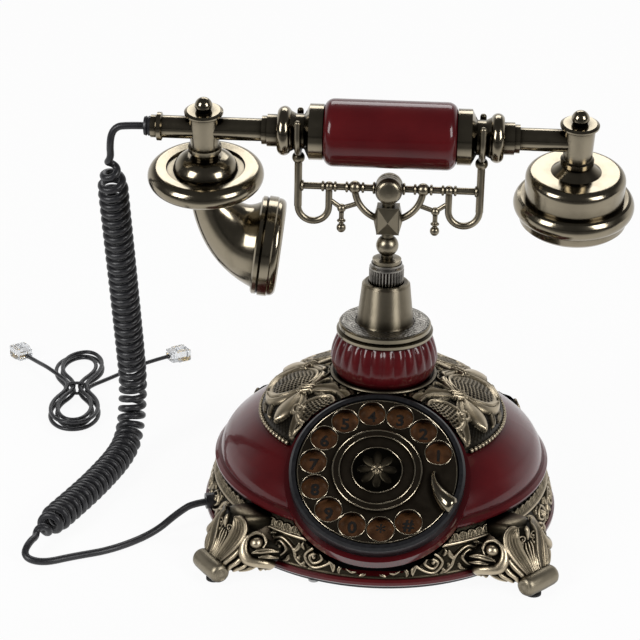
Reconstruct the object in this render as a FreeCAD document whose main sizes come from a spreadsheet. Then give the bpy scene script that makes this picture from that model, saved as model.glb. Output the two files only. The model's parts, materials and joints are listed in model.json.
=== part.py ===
import FreeCAD, Part
import math
import os
import Sketcher

os.makedirs("parts", exist_ok=True)
doc = FreeCAD.newDocument("CradleTelephone")
sheet = doc.addObject("Spreadsheet::Sheet", "Sizes")
V = FreeCAD.Vector

# Driving dimensions in millimetres and degrees
SIZES = {
    "pad_thick": 1.0,
    "pad_radius": 4.0,
    "plate_radius": 86.0,
    "plate_low": 4.0,
    "plate_thick": 2.5,
    "rim_out": 3.5,
    "rim_thick": 3.5,
    "skirt_out": 1.0,
    "skirt_lean": 7.0,
    "skirt_wall": 4.0,
    "ledge_low": 31.0,
    "ledge_out": 4.5,
    "ledge_thick": 5.0,
    "dome_in": 3.0,
    "dome_rise": 28.3,
    "shell_wall": 4.0,
    "collar_in": 21.5,
    "relief_tall": 1.5,
    "neck_low": 77.0,
    "neck_bore": 14.0,
    "neck_ring_radius": 25.0,
    "neck_ring_thick": 2.0,
    "flute_radius": 26.4,
    "flute_low_radius": 24.0,
    "flute_top_radius": 22.4,
    "flute_tall": 21.0,
    "flange_low_radius": 24.0,
    "flange_top_radius": 22.9,
    "flange_tall": 6.0,
    "cone_low_radius": 14.0,
    "cone_top_radius": 11.9,
    "cone_tall": 21.5,
    "tube_below": 4.0,
    "nut_radius": 20.0,
    "slide_gap": 0.3,
    "run_gap": 0.05,
    "plunger_radius": 8.6,
    "plunger_tall": 21.6,
    "plunger_below": 11.5,
    "rod_radius": 5.0,
    "rod_length": 68.0,
    "hook_wire": 1.1,
    "dial_clear": 39.0,
    "dial_height": 56.0,
    "dial_tilt": 35.0,
    "wheel_radius": 38.7,
    "wheel_thick": 2.4,
    "hole_radius": 6.5,
    "hole_ring": 31.0,
    "hole_first": 20.7,
    "hole_pitch": 25.5,
    "bezel_radius": 42.3,
    "bezel_proud": 0.5,
    "bezel_deep": 11.0,
    "number_drop": 4.6,
    "number_thick": 1.4,
    "bezel_floor": 2.5,
    "housing_radius": 45.0,
    "housing_drop": 7.0,
    "housing_deep": 13.0,
    "can_radius": 25.0,
    "can_wall": 1.5,
    "can_deep": 11.5,
    "shaft_radius": 3.0,
    "stop_thick": 2.0,
    "foot_angle": 45.0,
    "rear_foot_angle": 48.0,
    "foot_out": 24.0,
    "wing_wide": 50.0,
    "wing_out": 4.0,
    "foot_width": 22.0,
    "roll_radius": 6.3,
    "roll_length": 27.0,
    "column_tall": 38.4,
    "bar_radius": 1.7,
    "post_apart": 44.0,
    "loop_radius": 7.5,
    "loop_drop": 10.5,
    "arch_radius": 16.5,
    "hub_radius": 6.6,
    "column_ball": 5.5,
    "block_wide": 11.0,
    "block_tall": 13.8,
    "block_deep": 8.0,
    "handset_rise": 27.5,
    "handset_lean": 11.0,
    "grip_radius": 16.3,
    "grip_length": 64.0,
    "grip_round": 5.0,
    "core_radius": 4.0,
    "neck_flange_radius": 13.5,
    "neck_flange_long": 6.7,
    "neck_radius": 8.45,
    "neck_long": 9.1,
    "bulb_radius": 11.9,
    "bulb_long": 6.2,
    "cuff_radius": 7.8,
    "cuff_long": 5.0,
    "bead_radius": 6.9,
    "bead_long": 2.6,
    "arm_radius": 5.5,
    "head_apart": 89.5,
    "arm_end": 109.5,
    "grommet_long": 3.3,
    "fork_gap": 0.3,
    "fork_rod": 1.6,
    "fork_rise": 7.0,
    "barrel_radius": 7.7,
    "barrel_up": 7.6,
    "barrel_down": 13.0,
    "cap_radius": 9.4,
    "knob_radius": 4.3,
    "saucer_radius": 28.4,
    "saucer_round": 5.0,
    "saucer_low": 31.0,
    "horn_wall": 1.6,
    "horn_small": 8.0,
    "horn_wide": 20.0,
    "mouth_radius": 25.0,
    "mouth_along": 26.0,
    "mouth_down": 65.6,
    "mouth_tip": 7.0,
    "ear_drum_radius": 24.2,
    "ear_ring_radius": 29.3,
    "ear_top": 16.6,
    "ear_seam": 30.0,
    "ear_low": 44.4,
    "ear_wall": 2.5,
    "curl_wire": 3.6,
    "curl_radius": 5.9,
    "curl_turns": 52.0,
    "line_wire": 2.3,
    "line_gap": 1.4,
    "jack_wide": 15.0,
    "jack_tall": 12.0,
}


class Size:
    """A sheet expression together with its present number."""

    def __init__(self, text, number):
        self.text = text
        self.number = number

    def join(self, sign, other, flip):
        other = other if isinstance(other, Size) else Size(repr(float(other)), float(other))
        left, right = (other, self) if flip else (self, other)
        numbers = {
            "+": lambda a, b: a + b,
            "-": lambda a, b: a - b,
            "*": lambda a, b: a * b,
            "/": lambda a, b: a / b,
        }
        return Size(f"({left.text} {sign} {right.text})", numbers[sign](left.number, right.number))

    def __add__(self, other):
        return self.join("+", other, False)

    def __radd__(self, other):
        return self.join("+", other, True)

    def __sub__(self, other):
        return self.join("-", other, False)

    def __rsub__(self, other):
        return self.join("-", other, True)

    def __mul__(self, other):
        return self.join("*", other, False)

    def __rmul__(self, other):
        return self.join("*", other, True)

    def __truediv__(self, other):
        return self.join("/", other, False)

    def __neg__(self):
        return self.join("*", -1.0, False)


for row, (name, number) in enumerate(SIZES.items(), start=1):
    sheet.set(f"A{row}", name)
    sheet.set(f"B{row}", str(number))
    sheet.setAlias(f"B{row}", name)
doc.recompute()
S = {name: Size(f"Sizes.{name}", float(sheet.get(name))) for name in SIZES}
N = {name: float(sheet.get(name)) for name in SIZES}
exported = []


def derive(name, size):
    S[name] = size
    N[name] = size.number


# Radii that follow from the base plate
derive("rim_radius", S["plate_radius"] + S["rim_out"])
derive("skirt_low_radius", S["plate_radius"] + S["skirt_out"])
derive("skirt_top_radius", S["skirt_low_radius"] - S["skirt_lean"])
derive("ledge_radius", S["skirt_top_radius"] + S["ledge_out"])
derive("dome_radius", S["ledge_radius"] - S["dome_in"])
derive("collar_radius", S["dome_radius"] - S["collar_in"])
derive("dial_back", S["neck_ring_radius"] + S["dial_clear"])
derive("foot_reach", S["plate_radius"] + S["foot_out"])
derive("disc_radius", S["can_radius"] - 9.0)


def as_size(value):
    return value if isinstance(value, Size) else Size(repr(float(value)), float(value))


def keep(thing, label, place=None):
    thing.Label = label
    if place is not None:
        thing.Placement = place
    exported.append((label, thing))
    return thing


def spot(x, y, z, axis=V(0, 0, 1), angle=0.0):
    return FreeCAD.Placement(V(x, y, z), FreeCAD.Rotation(axis, angle))


def origin_plane(body, role):
    return next(item for item in body.Origin.OriginFeatures if item.Role == role)


def outline_sketch(body, name, role, outline):
    """Lines and arcs through outline points, each bound to the sheet.

    A point is (x, y) or (x, y, radius, side). The last form bends the edge to the next point.
    """
    sketch = body.newObject("Sketcher::SketchObject", name)
    sketch.AttachmentSupport = [(origin_plane(body, role), "")]
    sketch.MapMode = "FlatFace"
    points = [(as_size(p[0]), as_size(p[1])) + tuple(p[2:]) for p in outline]
    starts = []
    for here, there in zip(points, points[1:] + points[:1]):
        a = V(here[0].number, here[1].number, 0)
        b = V(there[0].number, there[1].number, 0)
        if len(here) == 2:
            starts.append((sketch.addGeometry(Part.LineSegment(a, b)), 1, 2))
            continue
        radius, side = as_size(here[2]), here[3]
        chord = b - a
        half = chord.Length / 2
        lift = math.sqrt(max(radius.number**2 - half**2, 0.0))
        normal = V(-chord.y, chord.x, 0) / chord.Length
        centre = (a + b) / 2 + normal * lift * side
        first = math.atan2(a.y - centre.y, a.x - centre.x)
        last = math.atan2(b.y - centre.y, b.x - centre.x)
        circle = Part.Circle(centre, V(0, 0, 1), radius.number)
        if side > 0:
            arc = sketch.addGeometry(Part.ArcOfCircle(circle, first, last))
            starts.append((arc, 1, 2))
        else:
            arc = sketch.addGeometry(Part.ArcOfCircle(circle, last, first))
            starts.append((arc, 2, 1))
        index = sketch.addConstraint(Sketcher.Constraint("Radius", arc, radius.number))
        sketch.setExpression(f"Constraints[{index}]", radius.text)
    for order, (geo, start, end) in enumerate(starts):
        after, after_start, _ = starts[(order + 1) % len(starts)]
        sketch.addConstraint(Sketcher.Constraint("Coincident", geo, end, after, after_start))
        x, y = points[order][0], points[order][1]
        for kind, size, axis in (("DistanceX", x, -2), ("DistanceY", y, -1)):
            if size.number == 0.0:
                sketch.addConstraint(Sketcher.Constraint("PointOnObject", geo, start, axis))
                continue
            index = sketch.addConstraint(Sketcher.Constraint(kind, geo, start, size.number))
            sketch.setExpression(f"Constraints[{index}]", size.text)
    return sketch


def turned(label, outline, place=None, shown=True):
    """A body turned about its own Z axis from (radius, height) points."""
    body = doc.addObject("PartDesign::Body", f"{label}_turned")
    sketch = outline_sketch(body, f"{label}_outline", "XZ_Plane", outline)
    turn = body.newObject("PartDesign::Revolution", f"{label}_turn")
    turn.Profile = sketch
    turn.ReferenceAxis = (sketch, ["V_Axis"])
    turn.Angle = 360
    body.Tip = turn
    if shown:
        return keep(body, label, place)
    body.Placement = place or FreeCAD.Placement()
    return body


def padded(label, outline, height, place=None, role="XY_Plane", middle=False, shown=True):
    body = doc.addObject("PartDesign::Body", f"{label}_padded")
    sketch = outline_sketch(body, f"{label}_outline", role, outline)
    pad = body.newObject("PartDesign::Pad", f"{label}_pad")
    pad.Profile = sketch
    pad.setExpression("Length", as_size(height).text)
    pad.Midplane = middle
    body.Tip = pad
    if shown:
        return keep(body, label, place)
    body.Placement = place or FreeCAD.Placement()
    return body


def ring(inner, outer, low, high):
    return [(inner, low), (outer, low), (outer, high), (inner, high)]


def rod(name, radius, length, place):
    piece = doc.addObject("Part::Cylinder", name)
    piece.setExpression("Radius", as_size(radius).text)
    piece.setExpression("Height", as_size(length).text)
    piece.Placement = place
    return piece


def ball(name, radius, centre):
    piece = doc.addObject("Part::Sphere", name)
    piece.setExpression("Radius", as_size(radius).text)
    piece.Placement.Base = centre
    return piece


def block(name, long, wide, tall, centre):
    piece = doc.addObject("Part::Box", name)
    sizes = [as_size(long), as_size(wide), as_size(tall)]
    for key, size in zip(("Length", "Width", "Height"), sizes):
        piece.setExpression(key, size.text)
    piece.Placement.Base = centre - V(sizes[0].number, sizes[1].number, sizes[2].number) / 2
    return piece


def bend(name, ring_radius, rod_radius, degrees, place):
    piece = doc.addObject("Part::Torus", name)
    piece.setExpression("Radius1", as_size(ring_radius).text)
    piece.setExpression("Radius2", as_size(rod_radius).text)
    piece.Angle3 = degrees
    piece.Placement = place
    return piece


def between(name, radius, start, end):
    """A rod from one point to another."""
    axis = end - start
    turn = FreeCAD.Rotation(V(0, 0, 1), axis)
    return rod(name, radius, axis.Length, FreeCAD.Placement(start, turn))


def fused(name, pieces, label=None):
    whole = doc.addObject("Part::MultiFuse", name)
    whole.Shapes = pieces
    return keep(whole, label) if label else whole


def cut(name, base, tool, label=None):
    whole = doc.addObject("Part::Cut", name)
    whole.Base = base
    whole.Tool = tool
    return keep(whole, label) if label else whole


def grouped(label, pieces):
    """Separate solids under one node."""
    whole = doc.addObject("Part::Compound", f"{label}_group")
    whole.Links = pieces
    return keep(whole, label)


# Heights that follow from the stack
rim_low = S["plate_low"] + S["plate_thick"]
skirt_low = rim_low + S["rim_thick"]
ledge_top = S["ledge_low"] + S["ledge_thick"]
dome_top = ledge_top + S["dome_rise"]
flute_low = S["neck_low"] + S["neck_ring_thick"]
flange_low = flute_low + S["flute_tall"]
cone_low = flange_low + S["flange_tall"]
cone_top = cone_low + S["cone_tall"]
tube_top = cone_low - 2.0
shell_top = dome_top - S["shell_wall"]
number_low = S["number_drop"] + S["number_thick"]
floor_low = number_low + S["bezel_floor"]
can_low = floor_low + S["can_deep"]

# Dial frame, local Z points out of the dial
DIAL = spot(0, -N["dial_back"], N["dial_height"], V(1, 0, 0), N["dial_tilt"])


def dial_spot(radius, degrees, height):
    turn = math.radians(degrees)
    return DIAL.multVec(V(radius * math.cos(turn), radius * math.sin(turn), height))


# Base plate, screws and red bottom rim
screw_ring = N["plate_radius"] - 2.2
screw_spots = [
    V(screw_ring * math.cos(math.radians(a)), screw_ring * math.sin(math.radians(a)), 0)
    for a in (20, 110, 160, 250, 340)
]


def screw_rods(name, radius, low, length):
    return [
        rod(f"{name}_{i}", radius, length, spot(p.x, p.y, low)) for i, p in enumerate(screw_spots)
    ]


plate_blank = turned(
    "plate_blank",
    [(0, S["plate_low"]), (S["plate_radius"], S["plate_low"]), (S["plate_radius"], rim_low), (0, rim_low)],
    shown=False,
)
plate_holes = fused("plate_holes", screw_rods("plate_hole", 1.5, N["plate_low"] - 1, 12.0))
cut("base_plate_cut", plate_blank, plate_holes, "base_plate")
rim_blank = turned(
    "rim_blank",
    [
        (S["plate_radius"] - 6.0, rim_low),
        (S["rim_radius"] - 1.0, rim_low),
        (S["rim_radius"], rim_low + 1.0),
        (S["rim_radius"], skirt_low - 1.0),
        (S["rim_radius"] - 1.0, skirt_low),
        (S["plate_radius"] - 6.0, skirt_low),
    ],
    shown=False,
)
rim_holes = fused("rim_holes", screw_rods("rim_hole", 1.5, N["plate_low"] - 1, 12.0))
cut("lower_rim_cut", rim_blank, rim_holes, "lower_rim")
screw_solids = []
for i, p in enumerate(screw_spots):
    head = rod(f"screw_head_{i}", 2.6, 1.2, spot(p.x, p.y, N["plate_low"] - 1.2))
    shank = rod(f"screw_shank_{i}", 1.5, 5.5, spot(p.x, p.y, N["plate_low"]))
    screw_solids.append(fused(f"screw_{i}", [head, shank]))
grouped("base_plate_screws", screw_solids)

# Dial housing tools
housing_tool = rod(
    "housing_tool",
    S["housing_radius"],
    S["housing_deep"] - S["housing_drop"],
    DIAL * spot(0, 0, -N["housing_deep"]),
)
bezel_tool = rod("bezel_tool", S["bezel_radius"], 60.0, DIAL * spot(0, 0, -N["bezel_deep"]))
inner_tool = rod("inner_tool", S["bezel_radius"] - 4.3, 30.0, DIAL * spot(0, 0, -N["bezel_deep"] - 29.0))

# Bronze skirt with a moulding, a raised band, scroll bosses and the line jack and cord holes
moulding_low = S["ledge_low"] - 8.0
moulding_radius = S["skirt_top_radius"] + 3.4
skirt_face = [
    (S["skirt_low_radius"], skirt_low),
    (S["skirt_low_radius"] - 2.4, skirt_low + 9.0),
    (moulding_radius, moulding_low),
    (moulding_radius + S["relief_tall"] - 0.3, moulding_low + 0.4, 1.1, 1),
    (moulding_radius + S["relief_tall"] - 0.8, moulding_low + 2.0),
    (moulding_radius - 0.7, moulding_low + 2.4),
    (moulding_radius + 0.1, moulding_low + 2.6),
    (S["skirt_top_radius"] + 1.3, S["ledge_low"] - 0.6),
    (S["skirt_top_radius"] + 0.8, S["ledge_low"]),
]
skirt_blank = turned(
    "skirt_blank",
    [
        (S["skirt_low_radius"] - S["skirt_wall"], skirt_low),
        *skirt_face,
        (S["skirt_top_radius"] - S["skirt_wall"], S["ledge_low"]),
    ],
    shown=False,
)
jack_middle = V(0, N["skirt_low_radius"] - 9.0, skirt_low.number + 9.0)
jack_outer = block("jack_outer", S["jack_wide"], 17.0, S["jack_tall"], jack_middle)
jack_mouth = block("jack_mouth", 10.0, 13.0, 7.0, jack_middle + V(0, 4.0, 0))
cut("line_jack_cut", jack_outer, jack_mouth, "line_jack")
jack_hole = block("jack_hole", S["jack_wide"], 17.0, S["jack_tall"], jack_middle)
cord_turn = 197.0
cord_way = V(math.cos(math.radians(cord_turn)), math.sin(math.radians(cord_turn)), 0)
cord_height = skirt_low.number + 4.6
cord_hole_start = cord_way * (N["skirt_low_radius"] - 11.0) + V(0, 0, cord_height)
cord_hole_end = cord_way * (N["skirt_low_radius"] + 4.0) + V(0, 0, cord_height)
cord_hole = between("cord_hole", 4.0, cord_hole_start, cord_hole_end)
housing_room = rod(
    "housing_room",
    S["housing_radius"] + 0.15,
    60.0,
    DIAL * spot(0, 0, -N["housing_deep"] - 0.15),
)
can_room = rod("can_room", S["can_radius"] + 0.3, 60.0, DIAL * spot(0, 0, -can_low.number - 0.3))
skirt_tools = fused("skirt_tools", [jack_hole, cord_hole, housing_room, can_room])
boss_slope = math.atan2(2.4, 9.0)
boss_height = skirt_low.number + 7.2
boss_radius = N["skirt_low_radius"] - 2.4 * 7.2 / 9.0
skirt_bosses = []
for i, away in enumerate((70.4, 83.3, 96.1, 109.0, 160.4, 173.2)):
    for side in (-1, 1):
        turn = math.radians(-90.0 + side * away)
        way = V(math.cos(turn), math.sin(turn), math.tan(boss_slope)).normalize()
        face = V(boss_radius * math.cos(turn), boss_radius * math.sin(turn), boss_height)
        tip = face + way * N["relief_tall"]
        skirt_bosses.append(between(f"skirt_boss_{i}_{side}", 4.4, face - way * 1.5, tip))
skirt_whole = fused("skirt_whole", [skirt_blank] + skirt_bosses)
cut("frieze_skirt_cut", skirt_whole, skirt_tools, "frieze_skirt")
grommet_rod = between("grommet_rod", 4.0, cord_hole_start, cord_hole_end)
grommet_bore = between(
    "grommet_bore", S["curl_wire"] / 2, cord_hole_start - cord_way, cord_hole_end + cord_way
)
cut("base_grommet_cut", grommet_rod, grommet_bore, "base_grommet")

# Domed shell with its stepped rim and dial housing
dome_edge = [
    (S["ledge_radius"] - 10.5, S["ledge_low"]),
    (S["ledge_radius"] - 2.0, S["ledge_low"]),
    (S["ledge_radius"], S["ledge_low"] + 2.0),
    (S["ledge_radius"], ledge_top - 2.0),
    (S["ledge_radius"] - 1.5, ledge_top - 0.6),
    (S["dome_radius"], ledge_top),
    (S["dome_radius"], ledge_top + 1.0, 16.0, 1),
    (S["dome_radius"] - 6.0, ledge_top + 11.3, 45.0, 1),
]
shell_outline = dome_edge + [
    (S["collar_radius"], dome_top - 7.8, 150.0, 1),
    (S["neck_ring_radius"] + 2.0, dome_top),
    (S["neck_bore"], dome_top),
    (S["neck_bore"], shell_top),
    (S["neck_ring_radius"] + 2.0, shell_top),
    (S["collar_radius"] - 1.5, dome_top - 12.0),
    (S["dome_radius"] - 10.0, ledge_top + 7.6),
    (S["dome_radius"] - 5.5, ledge_top),
]
shell_blank = turned("shell_blank", shell_outline, shown=False)
shell_with_housing = fused("shell_with_housing", [shell_blank, housing_tool])
shell_cuts = fused("shell_cuts", [bezel_tool, inner_tool])
cut("dome_shell_cut", shell_with_housing, shell_cuts, "dome_shell")

# Shoulder relief collar, cut clear of the dial housing
collar_blank = turned(
    "collar_blank",
    [
        (S["neck_bore"], dome_top),
        (S["neck_ring_radius"] + 2.0, dome_top, 150.0, -1),
        (S["collar_radius"], dome_top - 7.8),
        (S["collar_radius"] + 0.4, dome_top - 6.0),
        (S["collar_radius"] - 0.6, dome_top - 3.4 + S["relief_tall"]),
        (S["collar_radius"] - 5.8, dome_top + 1.4 + S["relief_tall"]),
        (S["collar_radius"] - 6.6, dome_top + 1.3),
        (S["collar_radius"] * 0.75, dome_top + 5.7),
        (S["neck_ring_radius"] + 9.0, S["neck_low"] - 2.9),
        (S["neck_ring_radius"] + 9.4, S["neck_low"] - 2.9 + S["relief_tall"]),
        (S["neck_ring_radius"] + 4.5, S["neck_low"] - 1.2 + S["relief_tall"]),
        (S["neck_ring_radius"] + 2.5, S["neck_low"]),
        (S["neck_bore"], S["neck_low"]),
    ],
    shown=False,
)
cartouche_raise = turned(
    "cartouche_raise",
    [
        (S["collar_radius"] - 2.4, dome_top - 4.0),
        (S["collar_radius"] - 0.6, dome_top - 3.4 + S["relief_tall"]),
        (S["collar_radius"] - 5.8, dome_top + 1.4 + S["relief_tall"]),
        (S["collar_radius"] * 0.75 + 0.6, dome_top + 5.6 + S["relief_tall"]),
        (S["neck_ring_radius"] + 9.4, S["neck_low"] - 2.9 + S["relief_tall"]),
        (S["neck_ring_radius"] + 8.6, S["neck_low"] - 3.8),
        (S["collar_radius"] * 0.75 - 0.5, dome_top + 4.8),
        (S["collar_radius"] - 7.2, dome_top + 0.4),
    ],
    shown=False,
)
CARTOUCHES = [(44.2, a, 11.4) for a in (0, 90, 180)]
CARTOUCHES += [(44.0, a, 8.4) for a in (-45, 45, 135, 225)]
CARTOUCHES += [(40.0, a, 3.4) for a in (-19.7, 19.7, 70.3, 109.7, 160.3, 199.7)]
cartouche_rods = []
for i, (radius, degrees, size) in enumerate(CARTOUCHES):
    way = math.radians(degrees)
    reach = radius * N["collar_radius"] / 60.0
    place = spot(reach * math.cos(way), reach * math.sin(way), dome_top.number - 10.0)
    cartouche_rods.append(rod(f"cartouche_rod_{i}", size, 30.0, place))


def leaf_prism(name, first, last, wide):
    """An upright leaf between two plan points given as radius and degrees."""
    ends = []
    for radius, degrees in (first, last):
        way = math.radians(degrees)
        ends.append((radius * math.cos(way), radius * math.sin(way)))
    long = math.hypot(ends[1][0] - ends[0][0], ends[1][1] - ends[0][1])
    bow = (long**2 / 4 + wide**2 / 4) / wide
    outline = [(*ends[0], bow, 1), (*ends[1], bow, 1)]
    return padded(name, outline, 30.0, spot(0, 0, dome_top.number - 10.0), shown=False)


for i, middle in enumerate((0, 90, 180)):
    for side in (-1, 1):
        first, last = (43.0, middle + side * 21.5), (58.0, middle + side * 30.6)
        cartouche_rods.append(leaf_prism(f"shoulder_leaf_{i}_{side + 1}", first, last, 6.4))
cartouche_plan = fused("cartouche_plan", cartouche_rods)
cartouches = doc.addObject("Part::Common", "cartouches")
cartouches.Base, cartouches.Tool = cartouche_raise, cartouche_plan
collar_whole = fused("collar_whole", [collar_blank, cartouches])
collar_tool = rod(
    "collar_tool", S["housing_radius"] + 0.1, 60.0, DIAL * spot(0, 0, -N["housing_deep"])
)
cut("shoulder_collar_cut", collar_whole, collar_tool, "shoulder_collar")

# Neck stack, tube and nut
turned("neck_ring", ring(S["neck_bore"], S["neck_ring_radius"], S["neck_low"], flute_low))
turned(
    "fluted_collar",
    [
        (S["neck_bore"], flute_low),
        (S["flute_low_radius"], flute_low, 11.0, 1),
        (S["flute_radius"], flute_low + 8.5, 16.0, 1),
        (S["flute_top_radius"], flange_low),
        (S["neck_bore"], flange_low),
    ],
)
turned(
    "neck_flange",
    [
        (S["neck_bore"], flange_low),
        (S["flange_low_radius"] - 0.8, flange_low),
        (S["flange_low_radius"], flange_low + 0.8),
        (S["flange_low_radius"], flange_low + 2.2),
        (S["flange_top_radius"] - 0.6, flange_low + 3.0),
        (S["flange_top_radius"], flange_low + 3.6),
        (S["flange_top_radius"], cone_low - 0.6),
        (S["flange_top_radius"] - 0.6, cone_low),
        (S["neck_bore"], cone_low),
    ],
)
cone_bore = S["plunger_radius"] + S["slide_gap"]
turned(
    "column_cone",
    [
        (cone_bore, cone_low),
        (S["cone_low_radius"] + 0.6, cone_low),
        (S["cone_low_radius"], cone_low + 1.0),
        (S["cone_top_radius"], cone_top - 1.2),
        (S["cone_top_radius"] - 1.2, cone_top),
        (cone_bore, cone_top),
    ],
)
tube_low = shell_top - S["tube_below"]
tube_bore = S["rod_radius"] + S["run_gap"]
turned("column_tube", ring(tube_bore, S["neck_bore"], tube_low, tube_top))
turned("tube_nut", ring(S["neck_bore"], S["nut_radius"], tube_low, shell_top))

# Hook plunger, spring and switch
plunger_low = cone_top - S["plunger_below"]
plunger_top = plunger_low + S["plunger_tall"]
rod_low = plunger_top - S["plunger_tall"] - S["rod_length"]
derive("bar_height", plunger_top + S["column_tall"])
derive("handset_height", S["bar_height"] + S["handset_rise"])
turned(
    "hook_plunger",
    [
        (0, rod_low),
        (S["rod_radius"], rod_low),
        (S["rod_radius"], plunger_low),
        (S["plunger_radius"], plunger_low),
        (S["plunger_radius"], plunger_top),
        (0, plunger_top),
    ],
)


def arc_between(start, tangent, end):
    """The circle arc that leaves start along tangent and ends at end."""
    chord = end - start
    across = chord - tangent * chord.dot(tangent)
    if across.Length < 1e-6 * chord.Length:
        return Part.LineSegment(start, end), tangent
    side = across.normalize()
    reach = chord.Length**2 / (2 * chord.dot(side))
    centre = start + side * reach
    toward = (start + chord / 2) - centre
    middle = centre + toward.normalize() * abs(reach)
    leave = tangent - chord * (2 * tangent.dot(chord) / chord.Length**2)
    return Part.Arc(start, middle, end), leave * -1.0


def biarc(start, start_way, end, end_way):
    """Two tangent arcs from one point and direction to another."""
    gap = end - start
    both = start_way + end_way
    a = 2 * (1 - start_way.dot(end_way))
    b = 2 * gap.dot(both)
    c = -gap.dot(gap)
    if abs(a) < 1e-9:
        reach = -c / b
    else:
        reach = (-b + math.sqrt(b * b - 4 * a * c)) / (2 * a)
    meet = (start + end + (start_way - end_way) * reach) / 2
    first, way = arc_between(start, start_way, meet)
    second, _ = arc_between(meet, way, end)
    return [first, second]


def smooth_route(points):
    """Straight runs joined by tangent arcs through the corners."""
    pieces, radii, last = [], [], points[0]
    for before, corner, after in zip(points, points[1:], points[2:]):
        back = before - corner
        on = after - corner
        short = min(back.Length, on.Length)
        back.normalize()
        on.normalize()
        turn = math.pi - back.getAngle(on)
        setback = 0.45 * short
        radius = setback / math.tan(turn / 2)
        enter = corner + back * setback
        leave = corner + on * setback
        toward = back + on
        toward.normalize()
        middle = corner + toward * (radius / math.cos(turn / 2) - radius)
        if (enter - last).Length > 1e-6:
            pieces.append(Part.LineSegment(last, enter))
        pieces.append(Part.Arc(enter, middle, leave))
        radii.append(radius)
        last = leave
    pieces.append(Part.LineSegment(last, points[-1]))
    return pieces, radii


def tube(label, curves, wire):
    """One unbroken tube along tangent curves."""
    path = Part.Wire([curve.toShape() for curve in curves])
    first = curves[0]
    way = first.tangent(first.FirstParameter)[0]
    section = Part.Wire([Part.Circle(first.value(first.FirstParameter), V(*way), wire / 2).toShape()])
    shell = Part.BRepOffsetAPI.MakePipeShell(path)
    shell.add(section)
    shell.build()
    shell.makeSolid()
    solid = shell.shape()
    wanted = math.pi * wire**2 / 4 * path.Length
    print(label, "length", round(path.Length, 1), "volume ratio", round(solid.Volume / wanted, 4))
    return solid, path


def own_gap(label, path, wire):
    """The least gap of a tube to itself, measured on points along its middle."""
    count = int(path.Length / (wire * 0.25))
    points = path.discretize(count)
    step = path.Length / count
    skip = int(2.2 * wire / step) + 1
    cells = {}
    for i, p in enumerate(points):
        key = (int(p.x // 6), int(p.y // 6), int(p.z // 6))
        cells.setdefault(key, []).append(i)
    least, place = 1e9, None
    shifts = [(a, b, c) for a in (-1, 0, 1) for b in (-1, 0, 1) for c in (-1, 0, 1)]
    for (x, y, z), inside in cells.items():
        near = [j for a, b, c in shifts for j in cells.get((x + a, y + b, z + c), [])]
        for i in inside:
            for j in near:
                apart = points[i].distanceToPoint(points[j])
                if j - i > skip and apart < least:
                    least, place = apart, points[i]
    print(label, "least gap to itself", round(least - wire, 3), "near", place)


def formed(label, solid):
    piece = doc.addObject("Part::Feature", f"{label}_form")
    piece.Shape = solid
    return keep(piece, label)


def helix_curves(centre, radius, low, high, turns):
    """Quarter-turn biarcs of an upright coil."""
    steps = int(turns * 4)
    rise = (high - low) / steps
    points, ways = [], []
    for i in range(steps + 1):
        angle = math.pi / 2 * i
        points.append(centre + V(radius * math.cos(angle), radius * math.sin(angle), low + rise * i))
        way = V(-radius * math.sin(angle) * math.pi / 2, radius * math.cos(angle) * math.pi / 2, rise)
        ways.append(way.normalize())
    curves = []
    for i in range(steps):
        curves += biarc(points[i], ways[i], points[i + 1], ways[i + 1])
    return curves


spring_room = plunger_low.number - tube_top.number
spring_half = N["hook_wire"] / 2
spring_curves = helix_curves(
    V(0, 0, 0),
    (N["rod_radius"] + cone_bore.number) / 2,
    tube_top.number + spring_half + 0.05,
    plunger_low.number - spring_half - 0.05,
    4,
)
spring_solid, spring_path = tube("hook_spring", spring_curves, N["hook_wire"])
formed("hook_spring", spring_solid)
switch_top = rod_low.number - 0.3
switch_middle = V(0, 0, (rim_low.number + switch_top) / 2)
switch_post = block("switch_post", 12.0, 12.0, switch_top - rim_low.number, switch_middle)
keep(switch_post, "hook_switch")

# Circuit board, loudspeaker
board_middle = V(22.0, N["plate_radius"] - 46.0, rim_low.number + 8.5)
board = block("circuit_board_plate", 56.0, 36.0, 1.6, board_middle)
board_low = board_middle.z - 0.8
chip = block("circuit_board_chip", 16.0, 12.0, 2.0, board_middle + V(4, 2, 1.8))
fused("circuit_board_whole", [board, chip], "circuit_board")
post_solids = []
for i, (dx, dy) in enumerate(((-24, -14), (24, -14), (24, 14), (-24, 14))):
    place = spot(board_middle.x + dx, board_middle.y + dy, rim_low.number)
    post_solids.append(rod(f"board_post_{i}", 2.5, board_low - rim_low.number, place))
grouped("board_posts", post_solids)
turned(
    "loudspeaker",
    [
        (0, rim_low + 2.0),
        (20.0, rim_low + 2.0),
        (20.0, rim_low),
        (23.0, rim_low),
        (23.0, rim_low + 4.0),
        (14.0, rim_low + 8.0),
        (11.0, rim_low + 8.0),
        (11.0, rim_low + 15.0),
        (0, rim_low + 15.0),
    ],
    spot(46.0 - N["plate_radius"], 28.0, 0),
)

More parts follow.
